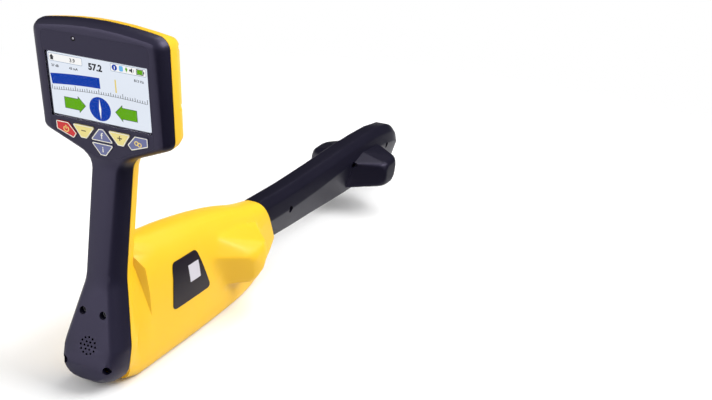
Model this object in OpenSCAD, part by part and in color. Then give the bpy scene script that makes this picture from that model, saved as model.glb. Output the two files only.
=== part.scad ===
// Hand-held cable locator: display head, grip, resting body and antenna blade.
// It lies as it rests on a floor: +Z is up, the display looks along -Y, and the
// blade runs along +Y. Heights are measured from the floor.

/* [Display head] */
// Height of the display centre above the floor
screen_h = 262; // [250:1:275]
// Forward lean of the display, in degrees
lean = 8.4; // [4:0.1:12]
// Width of the display's lit area
screen_w = 95; // [85:1:100]
// Height of the display's lit area
screen_v = 54; // [46:1:58]
// Border of the head beside the front panel
head_border = 12; // [10:0.5:16]
// Height of the head's lower corners below the display centre
head_drop = 41; // [38:0.5:44]
// Height of the head's upper corners above the display centre
head_rise = 52; // [50:0.5:60]
// Rise of the arched top above its corners
head_arch = 9; // [4:0.5:14]
// Depth of the front shell on the head
head_front = 13; // [11:0.5:18]
// Depth of the rear shell on the head
head_back = 27; // [22:0.5:34]
// Radius of the head's corners
head_corner = 11; // [10:0.5:16]

/* [Grip and heel] */
// Half of the grip's width
grip_half = 17; // [15:0.5:20]
// Depth of the front shell on the grip
grip_front = 18; // [14:0.5:22]
// Depth of the rear shell on the grip
grip_back = 16; // [13:0.5:22]
// Half of the heel's width
heel_half = 30; // [26:0.5:34]
// How far the heel's nose stands in front of the display centre
heel_nose = 22.5; // [18:0.5:28]
// Height of the heel's lower edge above the floor
heel_lift = 4; // [2:0.5:8]
// Height where the heel is widest
heel_wide_h = 36; // [30:1:42]
// Height where the heel has narrowed to the grip
heel_neck_h = 98; // [90:1:110]
// Rounding of the front edges
edge_round = 8; // [6:0.5:9]

/* [Body] */
// Half of the body's width
body_half = 28; // [25:0.5:32]
// Height of the body behind the grip
body_top = 119; // [110:1:130]
// Distance from the display centre to the shoulder where the body widens
shoulder_y = 38; // [34:0.5:44]
// Distance from the display centre to the body's collar
collar_y = 283; // [270:1:300]
// Height of the collar's centre
collar_h = 62; // [56:1:68]
// Half of the collar's height
collar_rise = 25; // [22:0.5:28]
// Half of the collar's width
collar_half = 17.5; // [16:0.5:20]
// Slant of the collar: run along the blade for each millimetre of height
collar_slant = 0.5; // [0:0.05:0.7]
// Half of the width across the side pods
pod_half = 50.5; // [47:0.5:54]
// Distance from the display centre to the middle of the side pods
pod_y = 212; // [205:1:222]
// Height of the middle of the side pods
pod_h = 42; // [38:1:48]

/* [Antenna blade] */
// Distance from the display centre to the foot of the blade
foot_y = 666; // [620:1:700]
// Height of the blade's lower edge at the foot
foot_low = 31; // [26:0.5:36]
// Height of the blade's upper edge at the foot
foot_high = 94; // [88:0.5:100]
// Half of the blade's width at the foot
foot_half = 18.5; // [16:0.5:21]
// Half of the width across the wings
wing_half = 53; // [48:0.5:60]
// Distance from the foot back to the middle of the wings
wing_back = 124; // [110:1:136]
// Height of the middle of the wings
wing_h = 55; // [50:0.5:60]

/* [Keypad] */
// Border of the front panel beside the display
panel_border = 3.5; // [2.5:0.5:5.5]
// Border of the front panel above the display
panel_brow = 19; // [17:0.5:20]
// Thickness of the front panel
panel_t = 1.5; // [1.2:0.1:1.8]
// Distance from the display down to the top row of keys
key_space = 5; // [4:0.5:6]
// Height of a key
key_v = 11.3; // [10:0.1:12]
// How far the keys stand out of the panel
key_proud = 0.8; // [0.5:0.1:1.2]
// Travel of a key
key_travel = 1; // [0.6:0.1:1.2]
// Gap around each key
key_gap = 0.35; // [0.3:0.05:0.5]
// Width of the lip that keeps a key behind the panel
key_lip = 0.8; // [0.6:0.1:1]

/* [Inside] */
// Width of the battery pack
battery_w = 34; // [30:0.5:36]
// Length of the battery pack
battery_l = 72; // [66:1:80]
// Height of the battery pack
battery_v = 57; // [50:1:64]
// Distance from the display centre to the battery's front end
battery_y = 92; // [80:1:100]
// Diameter of the ferrite rods across the blade
rod_d = 10; // [8:0.5:11]
// Diameter of the speaker
speaker_d = 26.5; // [22:0.5:28]
// Height of the speaker above the floor
speaker_h = 42; // [38:1:46]
// Diameter of the shell screws
screw_d = 3; // [2.5:0.1:3.4]
// Diameter of the internal cables
cable_d = 3.2; // [2.4:0.2:4]

/* [Walls and fits] */
// Wall of the moulded shells
wall = 2.6; // [2.2:0.1:3.2]
// Thickness of the seal between the shells
seal_t = 0.8; // [0.6:0.1:1.2]
// Thickness of the seal around the blade's spigot
collar_seal_t = 1; // [0.8:0.1:1.4]
// Thickness of circuit boards
board_t = 1.6; // [1.2:0.1:2]
// Clearance around fixed pieces
fit = 0.3; // [0.2:0.05:0.4]

/* [Hidden] */
$fn = 48;
eps = 0.02;

// Number of steps in the rounded stretches of an outline
arc_n = 5;

// Sizes that follow the display
panel_half = screen_w / 2 + panel_border;
panel_rise = screen_v / 2 + panel_brow;
key_drop = screen_v / 2 + key_space;
head_half = panel_half + head_border;

// Stations up the front: height, front face, front rounding, front depth, rear depth
neck_h = screen_h - 61;
function grip_z(t) = lerp(heel_neck_h, neck_h - 12, t);
function display_plane(z) = (screen_h - z) * tan(lean);
upright = [
    [0, -heel_nose, 14, 26, 20],
    [12, -heel_nose, 13, 26, 20],
    [heel_wide_h - 10, -heel_nose + 2, 10, 23.5, 20],
    [heel_wide_h + 12, -heel_nose + 8.5, edge_round, 21, 20],
    [70, -8, edge_round, 20, 20],
    [heel_neck_h, -2.5, edge_round, 19, grip_back + 1],
    [grip_z(0.35), 0.8, edge_round, grip_front, grip_back],
    [grip_z(0.79), 4.8, edge_round, grip_front, grip_back],
    [grip_z(1), 7.6, edge_round - 1, grip_front - 1, grip_back + 1],
    [neck_h, display_plane(neck_h), edge_round - 2.5, head_front + 3, head_back - 7],
    [neck_h + 20, display_plane(neck_h + 20), edge_round - 2.5, head_front, head_back - 2],
    [neck_h + 34, display_plane(neck_h + 34), edge_round, head_front, head_back],
    [screen_h + head_rise + 20, -(head_rise + 20) * tan(lean), edge_round, head_front, head_back],
];

// Height of the underside where it starts to rise to the collar
tail_low = 3;

// Length and lean of the shoulder's front face
shoulder_run = 3.5;
shoulder_lean = 0.15;

// Height of the shelf on top of the shoulder, where the side flares out in front of it,
// and how far the shelf runs back for each millimetre of height
shelf_h = 100;
flare_h = 58;
shelf_run = 1.5;

// Stations along the body: position, lower half-width, upper half-width, bottom, top, slant
body_stations = [
    [13.5, body_half, body_half - 1.5, heel_lift + 1.2, body_top + 8, -0.133],
    [24, body_half, body_half - 1.5, 0, body_top + 10, 0],
    [shoulder_y - shoulder_run / 2, body_half, body_half - 1.5, 0, body_top + 8.5, 0],
    [shoulder_y + shoulder_run / 2, body_half, body_half - 1.5, 0, body_top + 2.2, 0],
    [shoulder_y + 12, body_half, body_half - 1.5, 0, body_top + 1.3, 0],
    [80, body_half, body_half - 0.5, 0, body_top - 0.4, 0],
    [120, body_half, body_half - 0.5, 0, body_top - 3.5, 0],
    [160, body_half - 1, body_half - 2, 0, body_top - 9, 0],
    [200, body_half - 3, body_half - 4.5, 0, body_top - 16.5, 0],
    [232, narrowed(0.45), narrowed(0.35), tail_low, body_top - 24, 0.1],
    [256, narrowed(0.2), narrowed(0.15), 14, collar_h + collar_rise + 4, 0.3],
    [collar_y, collar_half, collar_half, collar_h - collar_rise, collar_h + collar_rise, collar_slant],
];

// Stations along the blade: position, half-width, bottom, top, ridge share of the height, slant
blade_stations = [
    [collar_y - 45, collar_half, collar_h - collar_rise, collar_h + collar_rise, 0.52, collar_slant],
    [collar_y, collar_half, collar_h - collar_rise, collar_h + collar_rise, 0.52, collar_slant],
    [collar_y + 60, collar_half, collar_h - collar_rise - 2, collar_h + collar_rise, 0.53, 0.2],
    [blade_at(0.305), collar_half + 0.3, foot_low + 3, foot_high - 5, 0.56, 0],
    [blade_at(0.567), foot_half, foot_low, foot_high - 1, 0.66, 0],
    [blade_at(0.802), foot_half, foot_low, foot_high, 0.64, 0],
    [foot_y - 34, foot_half - 0.5, foot_low, foot_high - 4, 0.62, 0],
    [foot_y - 14, foot_half - 2.5, foot_low + 4, foot_high - 12, 0.6, 0],
    [foot_y - 3, foot_half - 6, foot_low + 10, foot_high - 23, 0.58, 0],
    [foot_y, foot_half - 9, foot_low + 14, foot_high - 28, 0.56, 0],
];

function lerp(a, b, t) = a + (b - a) * t;
function blade_at(t) = lerp(collar_y, foot_y, t);
wing_y = foot_y - wing_back;
function narrowed(t) = lerp(collar_half, body_half, t);
function reverse(v) = [for (i = [len(v) - 1 : -1 : 0]) v[i]];

// Smooth value of column c at place p in a table of stations
function span(t, p, i = 0) = i >= len(t) - 2 || p < t[i + 1][0] ? i : span(t, p, i + 1);
function slope(t, i, c) =
    let (a = t[max(i - 1, 0)], b = t[min(i + 1, len(t) - 1)]) (b[c] - a[c]) / (b[0] - a[0]);
function at(t, p, c) =
    let (i = span(t, p), a = t[i], b = t[i + 1], h = b[0] - a[0], s = (p - a[0]) / h)
    a[c] * (1 + 2 * s) * (1 - s) ^ 2 + b[c] * s * s * (3 - 2 * s)
    + h * s * (1 - s) * (slope(t, i, c) * (1 - s) - slope(t, i + 1, c) * s);

// Points of the arc that rounds corner p between a and b with radius r
function corner(a, p, b, r) =
    let (u = unit2(a - p), v = unit2(b - p), half = acos(u * v) / 2, m = unit2(u + v),
         c = p + m * r / sin(half), from = p + u * r / tan(half) - c, to = p + v * r / tan(half) - c,
         a0 = atan2(from.y, from.x), turn = (atan2(to.y, to.x) - a0 + 540) % 360 - 180)
    [for (i = [0 : arc_n]) let (w = a0 + turn * i / arc_n) c + r * [cos(w), sin(w)]];
function unit2(v) = v / norm(v);
function flat(p) = [p.x, p.y];

// A closed outline with each point [x, y, r] rounded
function rounded(path) =
    [for (i = [0 : len(path) - 1])
        let (n = len(path), p = path[i], a = path[(i + n - 1) % n], b = path[(i + 1) % n])
        each p[2] > 0 ? corner(flat(a), flat(p), flat(b), p[2]) : [flat(p)]];
function mirrored(path) =
    concat(path, [for (p = reverse(path)) if (p.x > eps)
        len(p) > 2 ? [-p.x, p.y, p[2]] : other_side(p)]);

// The right half of the upright's outline, seen from the front, bottom to top
upright_path = [
    [heel_half, heel_lift, 22],
    [heel_half, heel_wide_h + 4, 22],
    [grip_half, heel_neck_h, 60],
    [grip_half, neck_h + 1, 14],
    [head_half - 1, screen_h - head_drop, head_corner],
    [head_half, screen_h + head_rise, head_corner],
    [0, screen_h + head_rise + head_arch, 300],
];
half_outline = [for (p = rounded(mirrored(upright_path))) if (p.x > eps) p];

// Outward normal of the half outline at point i, longer at a corner
function edge_normal(a, b) = let (d = unit2(b - a)) [d.y, -d.x];
function other_side(p) = [-p.x, p.y];
function outline_normal(o, i) =
    let (n = len(o), a = i > 0 ? o[i - 1] : other_side(o[0]),
         b = i < n - 1 ? o[i + 1] : other_side(o[n - 1]),
         u = edge_normal(a, o[i]), v = edge_normal(o[i], b), m = unit2(u + v))
    m / max(m * u, 0.5);

// Front face of the upright at a height: the display's own plane on the head, a curve below it
function front_y(z) = z > neck_h ? display_plane(z) : at(upright, z, 1);
function seam_y(z) = front_y(z) + at(upright, z, 3);

// Rings of the upright. A ring lies a fraction t round the edge, set in and set back.
rear_round = 0.52;
function front_ring(t, set_in, set_back) =
    [for (i = [0 : len(half_outline) - 1])
        let (o = half_outline[i], r = at(upright, o.y, 2), d = at(upright, o.y, 3),
             q = o - outline_normal(half_outline, i) * (r * (1 - sin(90 * t)) + set_in))
        [q.x, front_y(q.y) + (d - set_back) * (1 - cos(90 * t)) + set_back, q.y]];
function rear_ring(t, set_in, set_back) =
    [for (i = [0 : len(half_outline) - 1])
        let (o = half_outline[i], d = at(upright, o.y, 3), b = at(upright, o.y, 4),
             q = o - outline_normal(half_outline, i) * (b * rear_round * (1 - cos(90 * t)) + set_in))
        [q.x, front_y(q.y) + d + (b - set_back) * sin(90 * t), q.y]];
function joint_ring(set_in, set_back) =
    [for (i = [0 : len(half_outline) - 1])
        let (o = half_outline[i], q = o - outline_normal(half_outline, i) * set_in)
        [q.x, front_y(q.y) + at(upright, o.y, 3) + set_back, q.y]];

// Every piece is moved so that the part's box is centred over the origin
heel_front = min([for (p = front_ring(0, 0, 0)) p.y]);
mid_y = (foot_y + heel_front) / 2;

// Rings of the body: a flat-bottomed section with a crowned top
section_n = 15;
function body_low(y) = max(at(body_stations, y, 3), 0);
function body_ring(y, set_in) =
    let (zb = body_low(y) + set_in, zt = at(body_stations, y, 4) - set_in, zc = lerp(zb, zt, 0.45))
    [for (i = [0 : section_n - 1])
        let (a = -90 + 180 * (i + 0.5) / section_n, e = a > 0 ? crown : 2 / 8,
             z = i == 0 ? zb : zc + (a > 0 ? zt - zc : zb - zc) * abs(sin(a)) ^ e)
        [body_width(y, z, set_in) * cos(a) ^ e,
         slanted(y, z, at(body_stations, y, 5)) - leaning(y, z) + shelving(y, z), z]];
crown = 2 / 2.9;
function wide(y, z) =
    lerp(at(body_stations, y, 1), at(body_stations, y, 2), (z - body_low(y)) / at(body_stations, y, 4));
function body_width(y, z, set_in) =
    let (w = wide(y, z)) lerp(min(narrow(y, z), w), w, widened(y)) - set_in;

// In front of the shoulder the body is as narrow as the upright
upright_sides = [for (p = half_outline) if (p.y < neck_h - 20) [p.y, p.x]];
function share(t) = min(max(t, 0), 1);
function narrow(y, z) =
    let (n = lookup(max(z, heel_wide_h), upright_sides) - 1.2, f = body_half - 0.26 * max(z - flare_h, 0))
    lerp(n, max(n, f), share((y - 13.5) / (shoulder_y - 17)));
function widened(y) = share((y - shoulder_y) / shoulder_run + 0.5);
function leaning(y, z) =
    let (top = y > shoulder_y ? min(z, shelf_h) : z)
    abs(y - shoulder_y) < shoulder_run ? shoulder_lean * max(top - collar_h, 0) : 0;
function shelving(y, z) =
    y < shoulder_y ? 0 : shelf_run * max(z - shelf_h, 0) * share(1 - (y - shoulder_y) / (3 * body_half));
function slanted(y, z, k) = y + k * (collar_h - z);
function shifted(ring, dy) = [for (p = ring) p + [0, dy, 0]];

// Rings of the blade: an eight-sided section, widest at a ridge on each side
function blade_ring(y, set_in) =
    let (w = at(blade_stations, y, 1) - set_in, zb = at(blade_stations, y, 2) + set_in,
         zt = at(blade_stations, y, 3) - set_in, h = zt - zb, zr = zb + h * at(blade_stations, y, 4),
         path = [[w * 0.55, zb, h * 0.06], [w, zr, h * 0.12], [w * 0.84, lerp(zr, zt, 0.62), h * 0.14],
                 [w * 0.48, zt, h * 0.08]])
    [for (p = rounded(mirrored(path))) if (p.x > 0) [p.x, slanted(y, p.y, at(blade_stations, y, 5)), p.y]];

// A closed skin through rings of equal length. Its ends pair the ring's first half with its second.
module loft(rings) {
    m = len(rings[0]);
    n = m / 2;
    last = (len(rings) - 1) * m;
    sides = [for (j = [0 : len(rings) - 2], i = [0 : m - 1])
        let (a = j * m + i, b = j * m + (i + 1) % m) each [[a, b, a + m], [b, b + m, a + m]]];
    ends = [for (i = [0 : n - 2])
        let (a = i, b = i + 1, c = m - 2 - i, d = m - 1 - i)
        each [[a, d, b], [b, d, c], [last + a, last + b, last + d], [last + b, last + c, last + d]]];
    polyhedron([for (r = rings) each r], concat(sides, ends));
}

// A loft through rings of points on the right, with the left side mirrored or cut at a plane
module skin(rings, cut = undef)
    loft([for (r = rings) concat(r, [for (p = reverse(r)) [is_undef(cut) ? -p.x : cut, p.y, p.z]])]);

// A tube along a route, with rings across it
function along(route, i) = unit2(route[min(i + 1, len(route) - 1)] - route[max(i - 1, 0)]);
module tube(route, d, sides = 8)
    loft([for (i = [0 : len(route) - 1])
        let (t = along(route, i), u = unit2(cross(t, [1, 0, 0])), v = cross(t, u))
        [for (k = [0 : sides - 1])
            let (w = 360 * k / sides) route[i] + d / 2 * (cos(w) * v + sin(w) * u)]]);

// Frames: the whole part, the display with its depth along +Y, and the speaker's
module placed() translate([0, -mid_y, 0]) children();
module head() placed() translate([0, 0, screen_h]) rotate([lean, 0, 0]) children();
heel_tilt = atan((front_y(speaker_h + 5) - front_y(speaker_h - 5)) / 10);
module heel() placed()
    translate([0, front_y(speaker_h), speaker_h]) rotate([-heel_tilt, 0, 0]) children();

// Rods along an axis, and flat shapes seen from the front with a depth
module rod_x(d, x0, x1, y, z) translate([x0, y, z]) rotate([0, 90, 0]) cylinder(d = d, h = x1 - x0);
module rod_y(d, y0, y1, x, z) translate([x, y0, z]) rotate([-90, 0, 0]) cylinder(d = d, h = y1 - y0);
module rod_z(d, z0, z1, x, y) translate([x, y, z0]) cylinder(d = d, h = z1 - z0);
module slab(d0, d1) translate([0, d1, 0]) rotate([90, 0, 0]) linear_extrude(d1 - d0) children();
module block(x0, x1, y0, y1, z0, z1) translate([x0, y0, z0]) cube([x1 - x0, y1 - y0, z1 - z0]);
module both_sides() {
    children();
    mirror([1, 0, 0]) children();
}

// Colours
black = [0.16, 0.15, 0.2];
blade_black = [0.12, 0.11, 0.15];
yellow = [0.98, 0.78, 0.16];
rubber = [0.08, 0.08, 0.09];
steel = [0.72, 0.73, 0.75];
board_green = [0.1, 0.36, 0.2];
ferrite = [0.2, 0.2, 0.21];
copper = [0.72, 0.42, 0.2];

// Depths behind the display panel's face
lip_d = panel_t + fit;
lip_t = 0.8;
stem_d = lip_d + lip_t + 1.8;
board_d = 7.6;
mat_t = 1.2;
gasket_t = 0.8;

// Outlines of the panel and the openings behind it
panel_low = key_drop + 26.6;
keys_low = panel_low - 1.6;
module panel_shape()
    polygon(rounded(mirrored([[7.5, -panel_low, 6], [panel_half - 1, -panel_low + 18.2, 6],
                              [panel_half, panel_rise, 5]])));
module keypad_opening()
    polygon(mirrored([[7, -keys_low], [panel_half - 4, 16.9 - keys_low],
                      [panel_half - 4, 1.6 - key_drop]]));
module display_shape(margin) square([screen_w + 2 * margin, screen_v + 2 * margin], center = true);

// Outlines of the keys
key_low = key_drop + key_v;
key_corner = 1;
function across(share) = share * panel_half;
function key_point(share, y) = [across(share), y, key_corner];
module power_shape()
    polygon(rounded([key_point(-0.8745, -key_drop), key_point(-0.6412, -key_drop),
                     key_point(-0.4902, 2.5 - key_low), key_point(-0.5569, -key_low - 1.9),
                     key_point(-0.8745, 3.8 - key_low)]));
module minus_shape()
    polygon(rounded([key_point(-0.5549, -key_drop), key_point(-0.1255, -key_drop),
                     key_point(-0.3, -key_low), key_point(-0.4078, -key_low)]));
module function_shape()
    polygon(rounded(mirrored([key_point(0.2196, 0.3 - key_low), key_point(0.0451, -key_drop)])));
module info_shape()
    polygon(rounded(mirrored([key_point(0.051, -key_low - 12.3), key_point(0.2157, -key_low - 1.7)])));
module key_shapes(grow) {
    both_sides() {
        offset(delta = grow) power_shape();
        offset(delta = grow) minus_shape();
    }
    offset(delta = grow) function_shape();
    offset(delta = grow) info_shape();
}

// Where the key stems press, across and up
stems = [[across(-0.696), -key_drop - 6], [across(-0.349), -key_drop - 5.5], [0, -key_drop - 7],
         [0, -key_low - 5.5], [across(0.349), -key_drop - 5.5], [across(0.696), -key_drop - 6]];
stem_dia = 3.6;

// Screws of the shells: across, up and sunk on the heel, and from the display centre on the head
heel_spots = [[heel_half * 0.343, heel_wide_h + 34, 5], [heel_half - 8.5, heel_wide_h - 11, 10]];
head_edge = 6;
head_spots = [[head_half - head_edge, 37], [head_half - head_edge, -13]];
head_sink = 22;
post_d = 9;
board_half = panel_half - 3;
board_spots = [[board_half - 7, panel_rise - 7.5], [7 - board_half, panel_rise - 7.5],
               [0, -panel_low - 5.9]];
speaker_seat = wall + 0.6;
sensor_spot = [-0.2 * screen_w, panel_rise - 4];

// Upright shells
edge_steps = [0, 0.25, 0.5, 0.75, 1];
module front_skin()
    skin(concat([for (t = edge_steps) if (t < 1) front_ring(t, 0, 0)], [joint_ring(0, -seal_t / 2)]));
module front_cavity()
    skin(concat([for (t = edge_steps) front_ring(t, wall, wall)], [joint_ring(wall, 2)]));
module speaker_grille() {
    rod_y(2, -4, wall + 1, 0, 0);
    for (ring = [1 : 2], i = [0 : 6 * ring - 1])
        rotate([0, i * 60 / ring, 0]) rod_y(2, -4, wall + 1, 3.7 * ring, 0);
}
module front_posts() {
    both_sides() placed() for (s = heel_spots)
        rod_y(post_d, front_y(s.y) + s.z - 3, seam_y(s.y) - seal_t / 2, s.x, s.y);
    both_sides() head() for (s = head_spots) rod_y(6.4, 4.5, head_front - 0.6, s.x, s.y);
    head() for (s = board_spots) rod_y(6, 1.8, board_d, s.x, s.y);
    heel() difference() {
        rod_y(speaker_d + 4, 1.6, 7, 0, 0);
        rod_y(speaker_d + 2 * fit, 1, 8, 0, 0);
    }
}
module front_shell() color(black) difference() {
    union() {
        difference() {
            placed() front_skin();
            placed() front_cavity();
        }
        front_posts();
    }
    head() slab(-2, panel_t) offset(delta = 0.1) panel_shape();
    head() slab(-1, wall + 1) display_shape(0.5);
    head() slab(-1.2, wall + 1) keypad_opening();
    head() rod_y(6.4, -1.4, wall + 1, sensor_spot.x, sensor_spot.y);
    heel() speaker_grille();
    both_sides() placed() for (s = heel_spots) {
        rod_y(screw_d * 2.3, front_y(s.y) - 9, front_y(s.y) + s.z, s.x, s.y);
        rod_y(screw_d + 0.4, front_y(s.y), seam_y(s.y), s.x, s.y);
    }
    both_sides() head() for (s = head_spots) rod_y(screw_d - 0.6, 6, head_front, s.x, s.y);
    head() for (s = board_spots) rod_y(2, 3.4, board_d + 1, s.x, s.y);
}

// Body, pods and rear shell
module rear_skin()
    skin(concat([joint_ring(0, seal_t / 2)], [for (t = edge_steps) if (t > 0) rear_ring(t, 0, 0)]));
module rear_cavity()
    skin(concat([joint_ring(wall, -2)], [for (t = edge_steps) if (t > 0) rear_ring(t, wall, wall)]));
body_cuts = [for (i = [0 : len(body_stations) - 1])
    let (y = body_stations[i][0], next = body_stations[min(i + 1, len(body_stations) - 1)][0])
    each next - y > 20 ? [y, (y + next) / 2] : [y]];
module body_skin() skin([for (y = body_cuts) body_ring(y, 0)]);
function behind(y) = abs(y - shoulder_y) < shoulder_run ? wall : 0;
module body_cavity()
    skin(concat([for (y = body_cuts) if (y < collar_y) shifted(body_ring(y, wall), behind(y))],
                [shifted(body_ring(collar_y, wall), 1)]));

// A side pod: two long ramps rise from the body's side to a small end with rounded edges
pod_tip = 4;
pod_base = [[-83, 33], [-57, -5.5], [-27, -12], [16, -14], [38, -6], [44, 16], [34, 32], [-23, 45.5],
            [-65, 51.5]];
pod_ends = [[-25, 27, 5.5], [-23, 20, 0.2], [-12, -8, 5.1], [-0.5, 5, 0], [1.5, 25, 1]];
module pod(inset) hull() {
    translate([body_half - 12 - 2 * inset, pod_y, pod_h]) rotate([90, 0, 90]) linear_extrude(2)
        offset(delta = -inset) polygon(pod_base);
    for (p = pod_ends)
        translate([pod_half - pod_tip - p.z - 2 * inset, pod_y + p.x, pod_h + p.y])
            sphere(pod_tip - inset, $fn = 20);
}

// The battery door's place on the underside
bay_wall = 1.6;
bay_slack = 0.4;
battery_end = battery_y + battery_l;
door_half = battery_w / 2 + bay_slack + bay_wall - 0.1;
door_sink = 0.8;
door_t = 2.2;
door_top = door_sink + door_t;
hinge_y = battery_end + bay_slack + bay_wall + 4;
hinge_h = door_top + 0.3;
barrel_d = 4.4;
barrel_half = 9;
pin_d = 2.2;
lug_t = 5;
door_front = battery_y - 11;
door_screw_y = battery_y - 6;
door_seal_t = 0.5;
door_seal_w = 1.5;

// The plate ends where its swing clears the wall behind it
door_back = hinge_y - barrel_d / 2 - 2;
lug_x = barrel_half + 0.5;
module hinge_lugs() both_sides()
    block(lug_x, lug_x + lug_t, hinge_y - barrel_d / 2, hinge_y + 7, door_sink + 0.4, hinge_h + 3);
module door_opening() {
    block(-door_half - 0.5, door_half + 0.5, door_front - 0.5, hinge_y - barrel_d / 2, -1, 8);
    block(-barrel_half - 0.5, barrel_half + 0.5, hinge_y - 4, hinge_y + barrel_d / 2 + 1, -1, 8);
}
boss_l = 11.6;
function facets(d) = [for (i = [0 : 11]) d / 2 * [cos(30 * i + 7), sin(30 * i + 7)]];
function rear_face(z) = seam_y(z) + seal_t / 2;
module screw_bosses() {
    both_sides() placed() for (s = heel_spots)
        rod_y(post_d - 0.4, rear_face(s.y), rear_face(s.y) + boss_l, s.x, s.y);
    both_sides() placed() let (s = heel_spots[0], y = rear_face(s.y))
        block(s.x, body_width(y + boss_l / 2, s.y, wall / 2), y, y + boss_l, s.y - 1.5, s.y + 1.5);
    both_sides() head() for (s = head_spots) rod_y(post_d - 0.6, head_front + 0.6, head_sink + 3, s.x, s.y);
}
module main_housing() color(yellow) difference() {
    union() {
        difference() {
            placed() union() {
                rear_skin();
                body_skin();
                both_sides() pod(0);
            }
            placed() rear_cavity();
            placed() body_cavity();
            placed() both_sides() pod(wall * 0.46);
            placed() door_opening();
        }
        placed() hinge_lugs();
        screw_bosses();
    }
    placed() rod_x(pin_d + 0.1, -16, 16, hinge_y, hinge_h);
    both_sides() placed() for (s = heel_spots)
        rod_y(screw_d - 0.5, seam_y(s.y), seam_y(s.y) + 10.5, s.x, s.y);
    both_sides() head() for (s = head_spots) {
        rod_y(screw_d + 0.2, head_front, head_sink + 1, s.x, s.y);
        slab(head_sink, head_front + head_back + 8) translate(s) polygon(facets(screw_d * 2));
    }
}

// Antenna blade, split down its middle
spigot_in = wall + collar_seal_t + 0.2;
spigot_l = 40;
blade_cuts = concat([for (t = [0.08, 0.16, 0.305, 0.436, 0.567, 0.69, 0.802]) blade_at(t)],
                    [for (d = [34, 24, 14, 8, 3, 0]) foot_y - d]);
split = 0.05;
wing_tip = 7;
module wing(grow) hull() {
    translate([8, wing_y, wing_h]) rotate([90, 0, 90]) linear_extrude(3)
        offset(delta = grow) polygon([[-46, -16], [-46, 16], [-10, 24], [44, 22], [64, 4], [50, -18]]);
    for (p = [[-11.5, -9.5], [-11.5, 9], [17, 10.5], [13, -9.5]])
        translate([wing_half - wing_tip, wing_y + p.x, wing_h + p.y]) sphere(wing_tip + grow, $fn = 20);
}
case_spots = [[collar_y + 49, collar_h], [wing_y - 41, wing_h + 14], [foot_y - 53, wing_h + 12]];
case_sink = 9;
case_hole = screw_d * 2.7;
case_boss = case_hole + 2.4;
module blade_half() {
    skin(concat([shifted(blade_ring(collar_y, 0), fit)], [for (y = blade_cuts) blade_ring(y, 0)]), split);
    skin([for (dy = [-spigot_l, 4]) shifted(body_ring(collar_y, spigot_in), dy)], split);
    wing(0);
}
module blade_cavity() {
    skin(concat([shifted(blade_ring(collar_y, wall), wall + fit)],
                [for (y = blade_cuts) if (y < foot_y - 12) blade_ring(y, wall)]), -1);
    skin([for (dy = [-spigot_l - 1, wall + 4]) shifted(body_ring(collar_y, spigot_in + wall), dy)], -1);
    wing(-wall);
}
module case_half(bore) difference() {
    union() {
        difference() {
            blade_half();
            blade_cavity();
        }
        for (s = case_spots) rod_x(case_boss, board_t / 2 + 0.05, collar_half - 1.9, s.x, s.y);
    }
    for (s = case_spots) rod_x(bore, -1, 12, s.x, s.y);
    children();
}
module antenna_case_right() color(blade_black) placed() case_half(screw_d + 0.3)
    for (s = case_spots) rod_x(case_hole, case_sink, foot_half + 12, s.x, s.y);
module antenna_case_left() color(blade_black) placed() mirror([1, 0, 0]) case_half(screw_d - 0.4);
module case_screws() color(steel) placed() for (s = case_spots) {
    rod_x(screw_d * 1.85, case_sink, case_sink + 2, s.x, s.y);
    rod_x(screw_d - 0.5, -11, case_sink, s.x, s.y);
}

// Seals between the shells and around the blade's spigot
module shell_seal() color(rubber) placed() difference() {
    skin([for (d = [-seal_t / 2 + 0.1, seal_t / 2 - 0.1]) joint_ring(0.4, d)]);
    skin([for (d = [-seal_t, seal_t]) joint_ring(2.2, d)]);
}
module collar_seal() color(rubber) placed() difference() {
    skin([for (d = [-12, -5]) shifted(body_ring(collar_y, wall + 0.1), d)]);
    skin([for (d = [-13, -4]) shifted(body_ring(collar_y, wall + 0.1 + collar_seal_t), d)]);
}

// Display and keypad
module front_panel() color(black) head() difference() {
    slab(0, panel_t) panel_shape();
    slab(-1, panel_t + 1) display_shape(1.4);
    slab(-1, panel_t + 1) key_shapes(key_gap);
    rod_y(4.2, -1, panel_t + 1, sensor_spot.x, sensor_spot.y);
}
module display_window() color([0.75, 0.8, 0.85, 0.5]) head() slab(0.1, panel_t) display_shape(1.3);
module light_sensor() color([0.3, 0.1, 0.12]) head() {
    rod_y(4, 0.1, panel_t, sensor_spot.x, sensor_spot.y);
    rod_y(6, panel_t, wall, sensor_spot.x, sensor_spot.y);
}
module display_gasket() color(rubber) head() slab(wall, wall + gasket_t) difference() {
    display_shape(2.4);
    display_shape(0.6);
}
module display_module() color([0.9, 0.93, 0.96]) head()
    translate([0, 0, 0.8]) slab(wall + gasket_t, board_d)
        square([screen_w + 9, screen_v + 6.4], center = true);
module key_mat() color([0.5, 0.5, 0.52]) head() {
    slab(board_d - mat_t, board_d)
        polygon(mirrored([[7, -keys_low], [panel_half - 5, 19 - keys_low],
                          [panel_half - 5, 1.8 - key_drop]]));
    for (p = stems) rod_y(7, stem_d + key_travel + fit, board_d - mat_t, p.x, p.y);
}
module main_board() color(board_green) head() difference() {
    slab(board_d, board_d + board_t)
        polygon(rounded(mirrored([[9, -panel_low - 10.4, 2], [9, 1.6 - panel_low, 3],
                                  [board_half, 20.6 - panel_low, 3], [board_half, panel_rise - 3, 3]])));
    for (s = board_spots) rod_y(2.6, board_d - 1, board_d + board_t + 1, s.x, s.y);
}
module board_screws() color(steel) head() for (s = board_spots) {
    rod_y(1.9, 4, board_d + board_t, s.x, s.y);
    rod_y(4.4, board_d + board_t, board_d + board_t + 1.6, s.x, s.y);
}

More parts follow.
